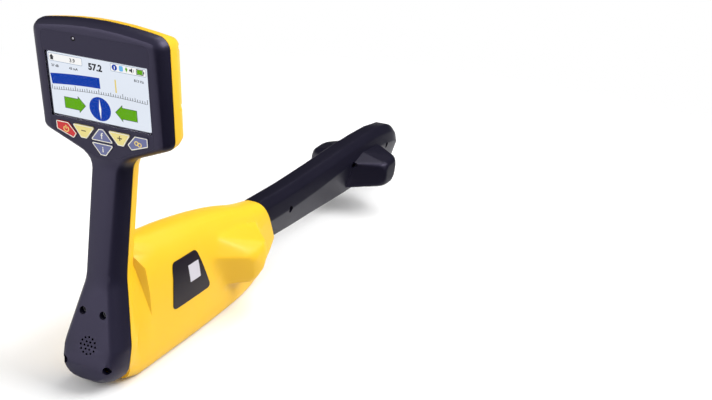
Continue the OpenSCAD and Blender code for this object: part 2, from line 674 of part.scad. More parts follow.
// A key: a cap through the panel, a lip behind it and a stem above its dome
module key(colour, stem) color(colour) head() {
    slab(-key_proud, lip_d + lip_t) children();
    slab(lip_d, lip_d + lip_t) offset(delta = key_lip) children();
    rod_y(stem_dia, lip_d, stem_d, stem.x, stem.y);
}
red = [0.86, 0.12, 0.14];
cream = [0.96, 0.9, 0.58];
violet = [0.42, 0.43, 0.62];
module power_key() key(red, stems[0]) power_shape();
module minus_key() key(cream, stems[1]) minus_shape();
module function_key() key(violet, stems[2]) function_shape();
module info_key() key(violet, stems[3]) info_shape();
module plus_key() key(cream, stems[4]) mirror([1, 0]) minus_shape();
module link_key() key(violet, stems[5]) mirror([1, 0]) power_shape();

// Speaker in the heel
cone_r = speaker_d / 2 - 2.6;
module speaker_mesh() color(rubber) heel() rod_y(speaker_d - 1, wall + 0.2, wall + 0.5, 0, 0);
module speaker_gasket() color(rubber) heel() difference() {
    rod_y(speaker_d, wall + 0.5, speaker_seat + 0.6, 0, 0);
    rod_y(speaker_d - 4, wall, speaker_seat + 1, 0, 0);
}
module speaker_frame() color(steel) heel() rotate([-90, 0, 0]) translate([0, 0, speaker_seat + 0.6])
    rotate_extrude() polygon([[cone_r, 0], [speaker_d / 2, 0], [speaker_d / 2, 1.2], [cone_r + 0.8, 2.4],
                              [8.5, 7], [8.5, 11], [0, 11], [0, 6.5], [6.4, 6.2], [cone_r, 1.4]]);
module speaker_cone() color(rubber) heel() rotate([-90, 0, 0]) translate([0, 0, speaker_seat + 0.7])
    rotate_extrude() polygon([[0, 3.6], [3.2, 3.6], [cone_r - 0.2, 0], [cone_r - 0.2, 0.6],
                              [3.6, 4.4], [0, 4.4]]);

// Fasteners of the shells
module heel_screws() color(steel) placed() both_sides() for (s = heel_spots) {
    rod_y(screw_d * 1.9, front_y(s.y) + s.z - 2.2, front_y(s.y) + s.z, s.x, s.y);
    rod_y(screw_d - 0.6, front_y(s.y) + s.z, seam_y(s.y) + 10, s.x, s.y);
}
module head_screws() color(steel) both_sides() head() for (s = head_spots) {
    rod_y(screw_d * 1.8, head_sink, head_sink + 2, s.x, s.y);
    rod_y(screw_d - 0.7, 7, head_sink, s.x, s.y);
}

// Battery and its bay
bay_low = door_top + door_seal_t + fit;
battery_low = bay_low;
bay_top = battery_low + battery_v + 0.7;
bay_half = battery_w / 2 + bay_slack;
module bay_block(grow, z0, z1)
    block(-bay_half - grow, bay_half + grow,
          battery_y - bay_slack - grow, battery_end + bay_slack + grow, z0, z1);
module battery_bay() color(black) placed() difference() {
    union() {
        bay_block(bay_wall, bay_low, bay_top + bay_wall);
        block(-5, 5, door_screw_y - 4.5, battery_y - bay_slack - 1, bay_low, bay_low + 5);
    }
    bay_block(0, 0, bay_top);
    rod_z(screw_d + 0.2, 0, bay_low + 8, 0, door_screw_y);
}
module battery_contacts() color(copper) placed() for (x = [-8, 8])
    block(x - 3, x + 3, battery_y + 8, battery_y + 24, battery_low + battery_v + 0.1, bay_top);
module battery_pack() color([0.2, 0.24, 0.3]) placed()
    block(-battery_w / 2, battery_w / 2, battery_y, battery_end, battery_low, battery_low + battery_v);
module battery_door() color(yellow) placed() difference() {
    union() {
        block(-door_half, door_half, door_front, door_back, door_sink, door_top);
        block(-barrel_half, barrel_half, hinge_y - 5, hinge_y, door_sink + 0.3, door_top);
        rod_x(barrel_d, -barrel_half, barrel_half, hinge_y, hinge_h);
    }
    rod_x(pin_d + 0.2, -20, 20, hinge_y, hinge_h);
    rod_z(screw_d + 0.4, 0, 8, 0, door_screw_y);
    rod_z(screw_d * 2.2, 0, door_sink + 0.9, 0, door_screw_y);
}
module door_seal() color(rubber) placed() difference() {
    bay_block(bay_wall - 0.3, door_top, door_top + door_seal_t);
    bay_block(bay_wall - 0.3 - door_seal_w, door_top - 1, door_top + door_seal_t + 1);
}
module door_screw() color(steel) placed() {
    rod_z(screw_d * 1.9, door_sink, door_sink + 0.9, 0, door_screw_y);
    rod_z(screw_d - 0.4, door_sink + 0.9, door_top + 4, 0, door_screw_y);
}
module door_pin() color(steel) placed() rod_x(pin_d, -14.2, 14.2, hinge_y, hinge_h);

// Cables inside, by hand-chosen points
// The last points climb the grip to the main board, by a share of that climb
function up_grip(x, points) = [for (p = points) [x, p[0], lerp(body_top + 3, screen_h - 46, p[1])]];
power_route = concat(
    [[-4, 100, 65.5], [-4, 92, 71], [-4, 78, 84], [-4, 56, 97], [-4, 34, 108]],
    up_grip(-4, [[23, 0], [19, 0.245], [20, 0.511], [22, 0.723], [21.6, 0.872], [19.2, 1]]));
antenna_route = concat(
    [[2.8, 270, 65], [3.2, 260, 67], [5, 248, 70], [5, 222, 76], [5, 190, 78], [5, 150, 77], [5, 110, 79]],
    [[5, 78, 90], [5, 54, 100], [5, 34, 110]],
    up_grip(5, [[23, 0.02], [19, 0.266], [20, 0.532], [22, 0.734], [21.6, 0.872], [18.4, 1]]));
module power_cable() color([0.7, 0.1, 0.1]) placed() tube(power_route, cable_d);
module antenna_cable() color([0.2, 0.2, 0.22]) placed() tube(antenna_route, cable_d);

// Antenna coils
upper_rod_d = rod_d - 1;
upper_y = pod_y - 6;
upper_h = pod_h + 8;
bracket_x = 12;
bracket_low = body_low(upper_y + 9) + wall + 2 * fit;
module coil_bracket() color([0.85, 0.85, 0.82]) placed() difference() {
    union() {
        both_sides() block(bracket_x, bracket_x + 3, upper_y - 9, upper_y + 9, bracket_low, upper_h + 10);
        block(-bracket_x, bracket_x, upper_y - 9, upper_y + 9, bracket_low, bracket_low + 2.4);
    }
    rod_x(upper_rod_d + fit, -30, 30, upper_y, upper_h);
}
module upper_rod() color(ferrite) placed() rod_x(upper_rod_d, 13 - pod_half, pod_half - 13, upper_y, upper_h);
module coil(d, bore, x0, x1, y, z) difference() {
    rod_x(d, x0, x1, y, z);
    rod_x(bore, x0 - 1, x1 + 1, y, z);
}
module upper_coil() color(copper) placed()
    coil(upper_rod_d * 2, upper_rod_d + 0.1, 0.3 - bracket_x, bracket_x - 0.3, upper_y, upper_h);
module antenna_board() color(board_green) placed() difference() {
    block(-board_t / 2, board_t / 2, collar_y - 22, foot_y - 26, collar_h - 16, collar_h + 13);
    for (s = case_spots) rod_x(screw_d + 0.4, -2, 2, s.x, s.y);
    rod_x(rod_d + 0.2, -2, 2, wing_y, wing_h);
}
module lower_rod() color(ferrite) placed() rod_x(rod_d, 6 - wing_half, wing_half - 6, wing_y, wing_h);
module lower_coils() color(copper) placed() both_sides()
    coil(rod_d * 1.9, rod_d + 0.1, board_t / 2 + 0.2, wing_half - 25, wing_y, wing_h);
axial_x = -board_t / 2 - 0.2 - rod_d / 2 - 1;
axial_front = case_spots[0].x + 10;
axial_back = case_spots[1].x - 10;
axial_mid = (axial_front + axial_back) / 2;
axial_l = 0.74 * (axial_back - axial_front);
axial_d = rod_d - 2;
axial_wound = 0.5 * (axial_back - axial_front);
module axial_rod() color(ferrite) placed()
    rod_y(axial_d, axial_mid - axial_l / 2, axial_mid + axial_l / 2, axial_x, collar_h);
module axial_coil() color(copper) placed() difference() {
    rod_y(axial_d + 4, axial_mid - axial_wound / 2, axial_mid + axial_wound / 2, axial_x, collar_h);
    rod_y(axial_d + 0.1, axial_front, axial_back, axial_x, collar_h);
}

// Bare label on the right side, lying on the body's surface
label_rows = 6;
label_y = 74;
label_l = 67;
label_low = 45;
label_v = 47;
label_cut = 26;
label_corner = 0.1;
label_t = 0.35;
label_lift = 0.15;
function body_side(y, z) =
    let (zb = body_low(y), zt = at(body_stations, y, 4), zc = lerp(zb, zt, 0.45),
         e = z > zc ? crown : 2 / 8,
         s = min(abs(z - zc) / (z > zc ? zt - zc : zc - zb), 0.999) ^ (1 / e))
    body_width(y, z, 0) * cos(asin(s)) ^ e;
function label_point(s, t, out) =
    let (z = label_low + label_v * t, y = label_y + s * (label_l - label_cut * t))
    [body_side(y, z) + out, y, z];

// Share of the label's height that its rounded corners take at a place along it
function trim(s) =
    let (e = max(label_corner - min(s, 1 - s), 0) / label_corner) label_corner * (1 - sqrt(1 - e * e));
label_cuts = [0, 0.02, 0.05, label_corner, 0.3, 0.5, 0.7, 1 - label_corner, 0.95, 0.98, 1];
function label_row(s, j) = lerp(trim(s), 1 - trim(s), j / label_rows);
module side_label() color([0.1, 0.1, 0.11]) placed()
    loft([for (s = label_cuts) concat(
        [for (j = [0 : label_rows]) label_point(s, label_row(s, j), label_lift + label_t)],
        [for (j = [label_rows : -1 : 0]) label_point(s, label_row(s, j), label_lift)])]);

front_shell();
main_housing();
antenna_case_right();
antenna_case_left();
shell_seal();
collar_seal();
front_panel();
display_window();
light_sensor();
display_gasket();
display_module();
key_mat();
main_board();
board_screws();
power_key();
minus_key();
function_key();
info_key();
plus_key();
link_key();
speaker_mesh();
speaker_gasket();
speaker_frame();
speaker_cone();
heel_screws();
head_screws();
battery_bay();
battery_contacts();
battery_pack();
battery_door();
door_seal();
door_screw();
door_pin();
power_cable();
antenna_cable();
coil_bracket();
upper_rod();
upper_coil();
antenna_board();
lower_rod();
lower_coils();
axial_rod();
axial_coil();
case_screws();
side_label();
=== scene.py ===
# %% [markdown]
# # Hand-held cable locator
# The locator is an arm-long receiver for finding buried cables. Its solids are already made,
# so this lesson dresses them: it lights them, gives each moulding its own plastic, draws the
# screen, prints the keys, rounds the pods and wings, and cuts the sockets of the screws. Lengths
# are in metres, apart from flat work on the display, which is in millimetres.

# %% Load the solids
import math

import bpy
from mathutils import Matrix, Vector


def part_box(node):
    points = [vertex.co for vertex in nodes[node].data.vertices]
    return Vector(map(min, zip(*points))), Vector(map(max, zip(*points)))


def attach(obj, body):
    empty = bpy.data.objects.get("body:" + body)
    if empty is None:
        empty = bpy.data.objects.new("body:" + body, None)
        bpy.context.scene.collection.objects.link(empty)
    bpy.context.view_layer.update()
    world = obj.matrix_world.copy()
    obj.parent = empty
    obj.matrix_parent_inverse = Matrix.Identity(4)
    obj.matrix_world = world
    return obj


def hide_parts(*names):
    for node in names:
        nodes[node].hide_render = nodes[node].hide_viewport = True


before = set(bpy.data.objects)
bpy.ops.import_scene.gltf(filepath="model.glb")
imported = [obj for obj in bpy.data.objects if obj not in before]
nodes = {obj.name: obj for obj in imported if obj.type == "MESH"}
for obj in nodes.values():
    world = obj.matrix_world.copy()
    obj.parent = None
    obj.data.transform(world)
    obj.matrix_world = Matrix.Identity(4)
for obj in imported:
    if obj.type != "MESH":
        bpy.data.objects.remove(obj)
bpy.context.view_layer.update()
MM = 0.001

# %% [markdown]
# The display leans forward by a few degrees. Almost every printed detail lies on that
# plane, so one matrix carries flat work to it: x across, y up the display, z out of it.

# %% The display's own plane
LEAN = math.radians(8.4)
WINDOW_DEPTH = 0.8 * MM
low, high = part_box("display_window")
HEAD_TURN = Matrix.Rotation(LEAN, 4, "X")
display_centre = (low + high) / 2 - HEAD_TURN @ Vector((0, WINDOW_DEPTH, 0))
HEAD = Matrix.Translation(display_centre) @ HEAD_TURN
FACE = HEAD @ Matrix.Rotation(math.radians(90), 4, "X")
print("display centre:", [round(x, 4) for x in display_centre])

# %% [markdown]
# The camera stands where the photographer stood: in front and to the right, a little
# above. Its axes were measured from the display's four corners and from mirrored pairs of
# keys and screws, so they are written as directions rather than as angles.

# %% Camera
CAMERA_FROM_DISPLAY = Vector((0.51878, -0.70831, 0.23380))
CAMERA_RIGHT = Vector((0.91293, 0.40132, 0.07417))
CAMERA_UP = Vector((-0.20099, 0.28394, 0.93754))
FOCAL_PIXELS = 1100
IMAGE_WIDTH = 712
SENSOR_WIDTH = 36
NEAREST = 0.01

bpy.ops.object.camera_add()
camera = bpy.context.object
camera.name = "photo_camera"
camera.data.sensor_width = SENSOR_WIDTH
camera.data.lens = SENSOR_WIDTH * FOCAL_PIXELS / IMAGE_WIDTH
camera.data.clip_start = NEAREST
turn = Matrix((CAMERA_RIGHT, CAMERA_UP, CAMERA_RIGHT.cross(CAMERA_UP))).transposed()
camera.matrix_world = Matrix.Translation(display_centre + CAMERA_FROM_DISPLAY) @ turn.to_4x4()
bpy.context.scene.camera = camera
print("lens:", round(camera.data.lens, 1), "mm")

# %% [markdown]
# A product shot on white needs a world that is white to the eye but not so bright that it
# washes the plastics out. One plain white would do that, and black plastic would have nothing
# dark to mirror. So the world answers camera rays with white and all others with a dimmer
# grey. Mirror rays see white in front and grey behind, as if a dark card stood there.

# %% World
WORLD_LIGHT = 0.42
SKY_SHINE = 0.6
DARK_CARD = 0.03
CARD_START, CARD_END = -0.2, 0.6


def add_node(tree, kind, **values):
    """A new node, with its settings and its inputs given by name."""
    made = tree.nodes.new("ShaderNode" + kind)
    for key, value in values.items():
        if hasattr(made, key):
            setattr(made, key, value)
        else:
            made.inputs[key.replace("_", " ").title()].default_value = value
    return made


def along(tree, source, axis, start, end, near, far):
    """A value that runs from near to far between two places along an axis."""
    place = add_node(tree, "TexCoord")
    split = add_node(tree, "SeparateXYZ")
    tree.links.new(place.outputs[source], split.inputs[0])
    run = add_node(tree, "MapRange", interpolation_type="SMOOTHSTEP",
                   From_Min=start, From_Max=end, To_Min=near, To_Max=far)
    tree.links.new(split.outputs[axis], run.inputs["Value"])
    return run.outputs["Result"]


def answer(tree, seen, shine, other):
    """One level for rays from the eye or through glass, one for mirror rays, one for the rest."""
    ray = add_node(tree, "LightPath")
    direct = add_node(tree, "Math", operation="MAXIMUM")
    tree.links.new(ray.outputs["Is Camera Ray"], direct.inputs[0])
    tree.links.new(ray.outputs["Is Transmission Ray"], direct.inputs[1])
    plain = add_node(tree, "MapRange", To_Min=other, To_Max=seen)
    tree.links.new(direct.outputs[0], plain.inputs["Value"])
    mirror = add_node(tree, "MapRange")
    tree.links.new(ray.outputs["Is Glossy Ray"], mirror.inputs["Value"])
    tree.links.new(plain.outputs["Result"], mirror.inputs["To Min"])
    tree.links.new(shine, mirror.inputs["To Max"])
    return mirror.outputs["Result"]


world = bpy.data.worlds.new("studio_white")
bpy.context.scene.world = world
world.use_nodes = True
sky = world.node_tree
background = sky.nodes["Background"]
background.inputs["Color"].default_value = (1, 1, 1, 1)
sky_shine = along(sky, "Generated", "Y", CARD_START, CARD_END, SKY_SHINE, DARK_CARD)
sky.links.new(answer(sky, 1, sky_shine, WORLD_LIGHT), background.inputs["Strength"])
print("world:", world.name)

# %% [markdown]
# The locator lies on a white sheet that takes a soft shadow. A plain white plane turns grey
# further off, where less light reaches it. So the sheet is painted near the part, and fades
# into a glow as white as the world. It answers mirror rays darkly on the right, like the card.

# %% Floor
FLOOR_SIZE = 30
FLOOR_DROP = 0.4 * MM
FLOOR_WHITE = 0.97
FLOOR_BOUNCE = 0.55
FLOOR_SHINE = 0.8
FLOOR_ROUGH = 0.9
FLOOR_CARD_START, FLOOR_CARD_END = 0.0, 0.2
FLOOR_NEAR = 0.45
FLOOR_FAR = 1.1


def new_material(name):
    """A new material with its node tree and its main shader."""
    material = bpy.data.materials.new(name)
    material.use_nodes = True
    tree = material.node_tree
    return material, tree, tree.nodes["Principled BSDF"]


def clear_selection():
    bpy.ops.object.select_all(action="DESELECT")


clear_selection()
bpy.ops.mesh.primitive_plane_add(size=FLOOR_SIZE, location=(0, 0, -FLOOR_DROP))
floor = bpy.context.object
floor.name = "studio_floor"
floor_paint, floor_tree, floor_shader = new_material("studio_floor_white")
floor_shine = along(floor_tree, "Object", "X", FLOOR_CARD_START, FLOOR_CARD_END,
                    FLOOR_SHINE, DARK_CARD)
floor_level = answer(floor_tree, FLOOR_WHITE, floor_shine, FLOOR_BOUNCE)
floor_tree.links.new(floor_level, floor_shader.inputs["Base Color"])
floor_shader.inputs["Roughness"].default_value = FLOOR_ROUGH
floor_shader.inputs["Specular IOR Level"].default_value = 0
floor_place = add_node(floor_tree, "TexCoord")
distance = add_node(floor_tree, "VectorMath", operation="LENGTH")
floor_tree.links.new(floor_place.outputs["Object"], distance.inputs[0])
fade = add_node(floor_tree, "MapRange", interpolation_type="SMOOTHSTEP",
                From_Min=FLOOR_NEAR, From_Max=FLOOR_FAR)
floor_tree.links.new(distance.outputs["Value"], fade.inputs["Value"])
far_glow = add_node(floor_tree, "Math", operation="MULTIPLY")
floor_tree.links.new(fade.outputs["Result"], far_glow.inputs[0])
floor_tree.links.new(answer(floor_tree, 1, floor_shine, 0), far_glow.inputs[1])
glow = add_node(floor_tree, "Emission")
both = add_node(floor_tree, "MixShader")
floor_tree.links.new(far_glow.outputs[0], both.inputs["Fac"])
floor_tree.links.new(floor_shader.outputs["BSDF"], both.inputs[1])
floor_tree.links.new(glow.outputs["Emission"], both.inputs[2])
floor_out = floor_tree.nodes["Material Output"]
floor_tree.links.new(both.outputs["Shader"], floor_out.inputs["Surface"])
floor.data.materials.append(floor_paint)
print("floor:", FLOOR_SIZE, "m across")

# %% [markdown]
# Three square lamps light the part, as soft boxes do in a small studio: a strong one from the
# right, a weaker one from the front left, and one from above the blade. Point lamps would do
# for brightness, but wide ones keep the shadow and the highlights soft.

# %% Lamps


def softbox(name, place, aim, size, power):
    """A square lamp that looks at a point."""
    bpy.ops.object.light_add(type="AREA", location=place)
    lamp = bpy.context.object
    lamp.name = name
    lamp.data.size = size
    lamp.data.energy = power
    lamp.rotation_euler = (Vector(aim) - Vector(place)).to_track_quat("-Z", "Y").to_euler()


softbox("key_softbox", place=(1.5, 0.5, 1.5), aim=(0, 0, 0.1), size=1.2, power=41)
softbox("front_softbox", place=(-0.7, -1.8, 0.9), aim=(0, -0.2, 0.15), size=1.2, power=18)
softbox("top_softbox", place=(0.2, 0.8, 1.9), aim=(0, 0.1, 0.1), size=1.4, power=19)
bpy.context.scene.view_settings.view_transform = "Standard"

# %% [markdown]
# The mouldings come from a spark-eroded tool, which leaves a fine grain on the plastic.
# The grain is a small bump, and the roughness wanders a little, because hands polish
# some places. A broad noise shifts the colour slightly, as a real batch of resin does.

# %% Moulded plastics
GRAIN_SIZE = 1400
GRAIN_DEPTH = 0.1 * MM
DRIFT_SIZE = 14
POLISH = 0.06
VIOLET_BLACK = (0.0045, 0.004, 0.015)
BLADE_BLACK = (0.006, 0.0055, 0.013)
PANEL_BLACK = (0.005, 0.0045, 0.016)
VIOLET_SHEEN = (0.74, 0.67, 1.0)
SAFETY_YELLOW = (0.93, 0.55, 0.018)


def moulded(name, colour, rough, grain=0.12, drift=0.05, sheen=0.5, coat=0.0, tint_of_sheen=None):
    """A satin plastic with a fine moulded grain."""
    material, tree, shader = new_material(name)
    place = add_node(tree, "TexCoord")
    fine = add_node(tree, "TexNoise", Scale=GRAIN_SIZE, Detail=3.0, Roughness=0.6)
    broad = add_node(tree, "TexNoise", Scale=DRIFT_SIZE, Detail=2.0)
    for noise in (fine, broad):
        tree.links.new(place.outputs["Object"], noise.inputs["Vector"])
    tint = add_node(tree, "Mix", data_type="RGBA")
    tint.inputs["A"].default_value = tuple(c * (1 - drift) for c in colour) + (1,)
    tint.inputs["B"].default_value = tuple(min(1, c * (1 + drift)) for c in colour) + (1,)
    tree.links.new(broad.outputs["Fac"], tint.inputs["Factor"])
    tree.links.new(tint.outputs["Result"], shader.inputs["Base Color"])
    polish = add_node(tree, "MapRange", To_Min=rough - POLISH, To_Max=rough + POLISH)
    tree.links.new(broad.outputs["Fac"], polish.inputs["Value"])
    tree.links.new(polish.outputs["Result"], shader.inputs["Roughness"])
    bump = add_node(tree, "Bump", Strength=grain, Distance=GRAIN_DEPTH)
    tree.links.new(fine.outputs["Fac"], bump.inputs["Height"])
    tree.links.new(bump.outputs["Normal"], shader.inputs["Normal"])
    shader.inputs["Specular IOR Level"].default_value = sheen
    shader.inputs["Coat Weight"].default_value = coat
    if tint_of_sheen:
        shader.inputs["Specular Tint"].default_value = tint_of_sheen + (1,)
    return material


front_plastic = moulded("front_shell_plastic", VIOLET_BLACK, 0.42, sheen=0.64,
                        tint_of_sheen=VIOLET_SHEEN)
blade_plastic = moulded("blade_plastic", BLADE_BLACK, 0.38, sheen=0.28, tint_of_sheen=VIOLET_SHEEN)
yellow_plastic = moulded("yellow_plastic", SAFETY_YELLOW, 0.38, grain=0.06, drift=0.03, sheen=0.4)
panel_film = moulded("panel_film", PANEL_BLACK, 0.36, grain=0.05, sheen=0.56,
                     tint_of_sheen=VIOLET_SHEEN)
seal_rubber = moulded("seal_rubber", (0.008, 0.008, 0.009), 0.75, grain=0.3)
bay_plastic = moulded("bay_plastic", (0.03, 0.03, 0.034), 0.5)
white_plastic = moulded("bracket_plastic", (0.7, 0.7, 0.67), 0.45)
red_cap = moulded("red_key_cap", (0.62, 0.018, 0.022), 0.42, grain=0.08)
cream_cap = moulded("cream_key_cap", (0.86, 0.74, 0.27), 0.45, grain=0.08)
violet_cap = moulded("violet_key_cap", (0.14, 0.155, 0.33), 0.45, grain=0.08)
mat_rubber = moulded("key_mat_silicone", (0.22, 0.22, 0.23), 0.6)
cable_jacket = moulded("cable_jacket", (0.03, 0.03, 0.034), 0.5)
battery_wrap = moulded("battery_wrap", (0.03, 0.045, 0.07), 0.35, coat=0.3)
print("materials with the plastics:", len(bpy.data.materials))

# %% [markdown]
# Screws are zinc-plated steel, windings are enamelled wire, boards are green laminate and
# the antenna cores are ferrite. Steel, brass and wire have fine lines, from brushing or from
# the turns, so one banded finish serves them. The others are moulded finishes with more grain.

# %% Metals, boards and cores
LINE_WANDER = 0.4
LINE_DARK = 0.7


def banded(name, colour, rough, metal, axis, pitch, depth):
    """A finish with fine parallel lines along one axis, such as wire or brushing."""
    material, tree, shader = new_material(name)
    place = add_node(tree, "TexCoord")
    lines = add_node(tree, "TexWave", bands_direction=axis, Scale=pitch, Distortion=LINE_WANDER)
    tree.links.new(place.outputs["Object"], lines.inputs["Vector"])
    ramp = add_node(tree, "ValToRGB")
    ramp.color_ramp.elements[0].color = tuple(c * LINE_DARK for c in colour) + (1,)
    ramp.color_ramp.elements[1].color = colour + (1,)
    tree.links.new(lines.outputs["Fac"], ramp.inputs["Fac"])
    tree.links.new(ramp.outputs["Color"], shader.inputs["Base Color"])
    bump = add_node(tree, "Bump", Strength=depth, Distance=GRAIN_DEPTH)
    tree.links.new(lines.outputs["Fac"], bump.inputs["Height"])
    tree.links.new(bump.outputs["Normal"], shader.inputs["Normal"])
    shader.inputs["Roughness"].default_value = rough
    shader.inputs["Metallic"].default_value = metal
    return material


screw_steel = banded("screw_steel", (0.30, 0.30, 0.32), 0.35, 1, "X", 900, 0.1)
coil_wire = banded("coil_wire", (0.62, 0.25, 0.09), 0.3, 0.9, "X", 500, 0.5)
contact_brass = banded("contact_brass", (0.75, 0.52, 0.2), 0.3, 1, "Y", 700, 0.1)
board_laminate = moulded("board_laminate", (0.012, 0.11, 0.04), 0.3, grain=0.15)
ferrite = moulded("ferrite", (0.035, 0.035, 0.038), 0.55, grain=0.3)
speaker_paper = moulded("speaker_paper", (0.012, 0.012, 0.013), 0.8, grain=0.4)
print("materials with the metals:", len(bpy.data.materials))

# %% [markdown]
# The light sensor in the front panel is a dark lens with a painted glint, a pale dot of painted
# highlight in its middle. The glint could be a mesh, but it is a dot of under 2 mm that never
# moves, so it is part of the lens's finish: the distance from the lens's middle chooses between
# the pale glint and the dark lens.

# %% Light sensor
GLINT_RADIUS = 0.9 * MM
GLINT_EDGE = (0.4, 0.6)
GLINT_PALE = (0.5, 0.48, 0.55, 1)
# The pale colour is a painted highlight, the glint in the lens's middle.
LENS_DARK = (0.003, 0.002, 0.004, 1)
LENS_ROUGH = 0.3
LENS_SHEEN = 0.15

sensor_lens, sensor_tree, sensor_shader = new_material("sensor_lens")
sensor_low, sensor_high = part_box("light_sensor")
glint_centre = (sensor_low + sensor_high) / 2
glint_centre.y = sensor_low.y
glint_place = add_node(sensor_tree, "TexCoord")
glint_reach = add_node(sensor_tree, "VectorMath", operation="DISTANCE")
glint_reach.inputs[1].default_value = glint_centre
sensor_tree.links.new(glint_place.outputs["Object"], glint_reach.inputs[0])
glint_edge = add_node(sensor_tree, "MapRange", From_Max=2 * GLINT_RADIUS)
sensor_tree.links.new(glint_reach.outputs["Value"], glint_edge.inputs["Value"])
# Painted highlight: pale near the lens's middle, dark further out.
glint_ramp = add_node(sensor_tree, "ValToRGB")
sensor_tree.links.new(glint_edge.outputs["Result"], glint_ramp.inputs["Fac"])
for stop, place, colour in zip(glint_ramp.color_ramp.elements, GLINT_EDGE, (GLINT_PALE, LENS_DARK)):
    stop.position = place
    stop.color = colour
sensor_tree.links.new(glint_ramp.outputs["Color"], sensor_shader.inputs["Base Color"])
sensor_shader.inputs["Roughness"].default_value = LENS_ROUGH
sensor_shader.inputs["Specular IOR Level"].default_value = LENS_SHEEN
print("sensor lens:", round((sensor_high.x - sensor_low.x) / MM, 1), "mm across")

# %% [markdown]
# The display's window is a sheet of clear plastic in front of the screen. A see-through mix
# would be simpler, but transmission also mirrors and bends light as a sheet does. Its
# refraction is set low, so that its faces take little of the screen's own light.

# %% Window
GLASS_ROUGH = 0.03
GLASS_IOR = 1.12

window_glass, _, glass = new_material("window_clear")
glass.inputs["Base Color"].default_value = (1, 1, 1, 1)
glass.inputs["Transmission Weight"].default_value = 1
glass.inputs["Roughness"].default_value = GLASS_ROUGH
glass.inputs["IOR"].default_value = GLASS_IOR
print("window:", window_glass.name)

# %% [markdown]
# Each solid keeps its own mesh and gets a finish. Its mesh is loose triangles, so curved
# faces would show their facets: a Weld joins the corners, and an Edge Split keeps the
# real creases sharp while the rest is shaded smooth.

# %% Dress the solids
finish_of = {
    front_plastic: ["front_shell"],
    yellow_plastic: ["main_housing", "battery_door"],
    blade_plastic: ["antenna_case_right", "antenna_case_left"],
    panel_film: ["front_panel"],
    window_glass: ["display_window"],
    sensor_lens: ["light_sensor"],
    seal_rubber: ["shell_seal", "collar_seal", "display_gasket", "speaker_gasket", "door_seal"],
    white_plastic: ["display_module", "coil_bracket"],
    mat_rubber: ["key_mat"],
    board_laminate: ["main_board", "antenna_board"],
    screw_steel: ["board_screws", "speaker_frame", "heel_screws", "head_screws", "case_screws",
                  "door_screw", "door_pin"],
    red_cap: ["power_key"],
    cream_cap: ["minus_key", "plus_key"],
    violet_cap: ["function_key", "info_key", "link_key"],
    speaker_paper: ["speaker_mesh", "speaker_cone"],
    bay_plastic: ["battery_bay"],
    contact_brass: ["battery_contacts"],
    battery_wrap: ["battery_pack"],
    cable_jacket: ["power_cable", "antenna_cable"],
    ferrite: ["upper_rod", "lower_rod", "axial_rod"],
    coil_wire: ["upper_coil", "lower_coils", "axial_coil"],
}
CREASE = math.radians(32)
WELD_GAP = 0.004 * MM


def select_only(piece):
    clear_selection()
    piece.select_set(True)
    bpy.context.view_layer.objects.active = piece


def smooth_solid(solid):
    """Shades a solid smooth between its creases."""
    select_only(solid)
    if solid.data.has_custom_normals:
        bpy.ops.mesh.customdata_custom_splitnormals_clear()
    bpy.ops.object.shade_smooth()
    weld = solid.modifiers.new("join_corners", "WELD")
    weld.merge_threshold = WELD_GAP
    crease = solid.modifiers.new("keep_creases", "EDGE_SPLIT")
    crease.split_angle = CREASE


def paint(solid, material):
    solid.data.materials.clear()
    solid.data.materials.append(material)


for material, names in finish_of.items():
    for name in names:
        paint(nodes[name], material)
for solid in nodes.values():
    smooth_solid(solid)
print("dressed:", sum(len(n) for n in finish_of.values()), "of", len(nodes))

# %% [markdown]
# The label on the body's right side is a dark film with a light patch, and one finish makes
# both. The patch is a band in the film's height crossed with a band in its length. The second
# band leans with the height, as the patch does, so it is taken of y plus a share of z.

# %% Side label
LABEL_DARK = (0.011, 0.007, 0.015, 1)
PATCH_LIGHT = (0.62, 0.60, 0.66, 1)
LABEL_ROUGH = 0.35
LABEL_SHEEN = 0.38
PATCH_LEAN = 0.22
PATCH_BACK, PATCH_LENGTH = 27 * MM, 18 * MM
PATCH_FOOT, PATCH_TOP = 18 * MM, 36 * MM

label_film, label_tree, label_shader = new_material("side_label_film")
label_place = add_node(label_tree, "TexCoord")
split = add_node(label_tree, "SeparateXYZ")
label_tree.links.new(label_place.outputs["Object"], split.inputs["Vector"])
label_low, label_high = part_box("side_label")


def label_span(place, start, end):
    """A mask that is 1 where a place lies between two values."""
    inside = add_node(label_tree, "Math", operation="COMPARE")
    label_tree.links.new(place, inside.inputs[0])
    inside.inputs[1].default_value = (start + end) / 2
    inside.inputs[2].default_value = (end - start) / 2
    return inside


patch_lean = add_node(label_tree, "Math", operation="MULTIPLY_ADD")
label_tree.links.new(split.outputs["Z"], patch_lean.inputs[0])
patch_lean.inputs[1].default_value = PATCH_LEAN
label_tree.links.new(split.outputs["Y"], patch_lean.inputs[2])
patch_low, patch_high = label_low.z + PATCH_FOOT, label_low.z + PATCH_TOP
lean_start = label_low.y + PATCH_BACK + PATCH_LEAN * (patch_low + patch_high) / 2
patch_y = label_span(patch_lean.outputs[0], lean_start, lean_start + PATCH_LENGTH)
patch_z = label_span(split.outputs["Z"], patch_low, patch_high)
patch = add_node(label_tree, "Math", operation="MULTIPLY")
label_tree.links.new(patch_y.outputs[0], patch.inputs[0])
label_tree.links.new(patch_z.outputs[0], patch.inputs[1])
label_colour = add_node(label_tree, "Mix", data_type="RGBA")
label_colour.inputs["A"].default_value = LABEL_DARK
label_colour.inputs["B"].default_value = PATCH_LIGHT
label_tree.links.new(patch.outputs[0], label_colour.inputs["Factor"])
label_tree.links.new(label_colour.outputs["Result"], label_shader.inputs["Base Color"])
label_shader.inputs["Roughness"].default_value = LABEL_ROUGH
label_shader.inputs["Specular IOR Level"].default_value = LABEL_SHEEN
paint(nodes["side_label"], label_film)
print("label:", [round((h - l) / MM) for l, h in zip(label_low, label_high)], "mm")

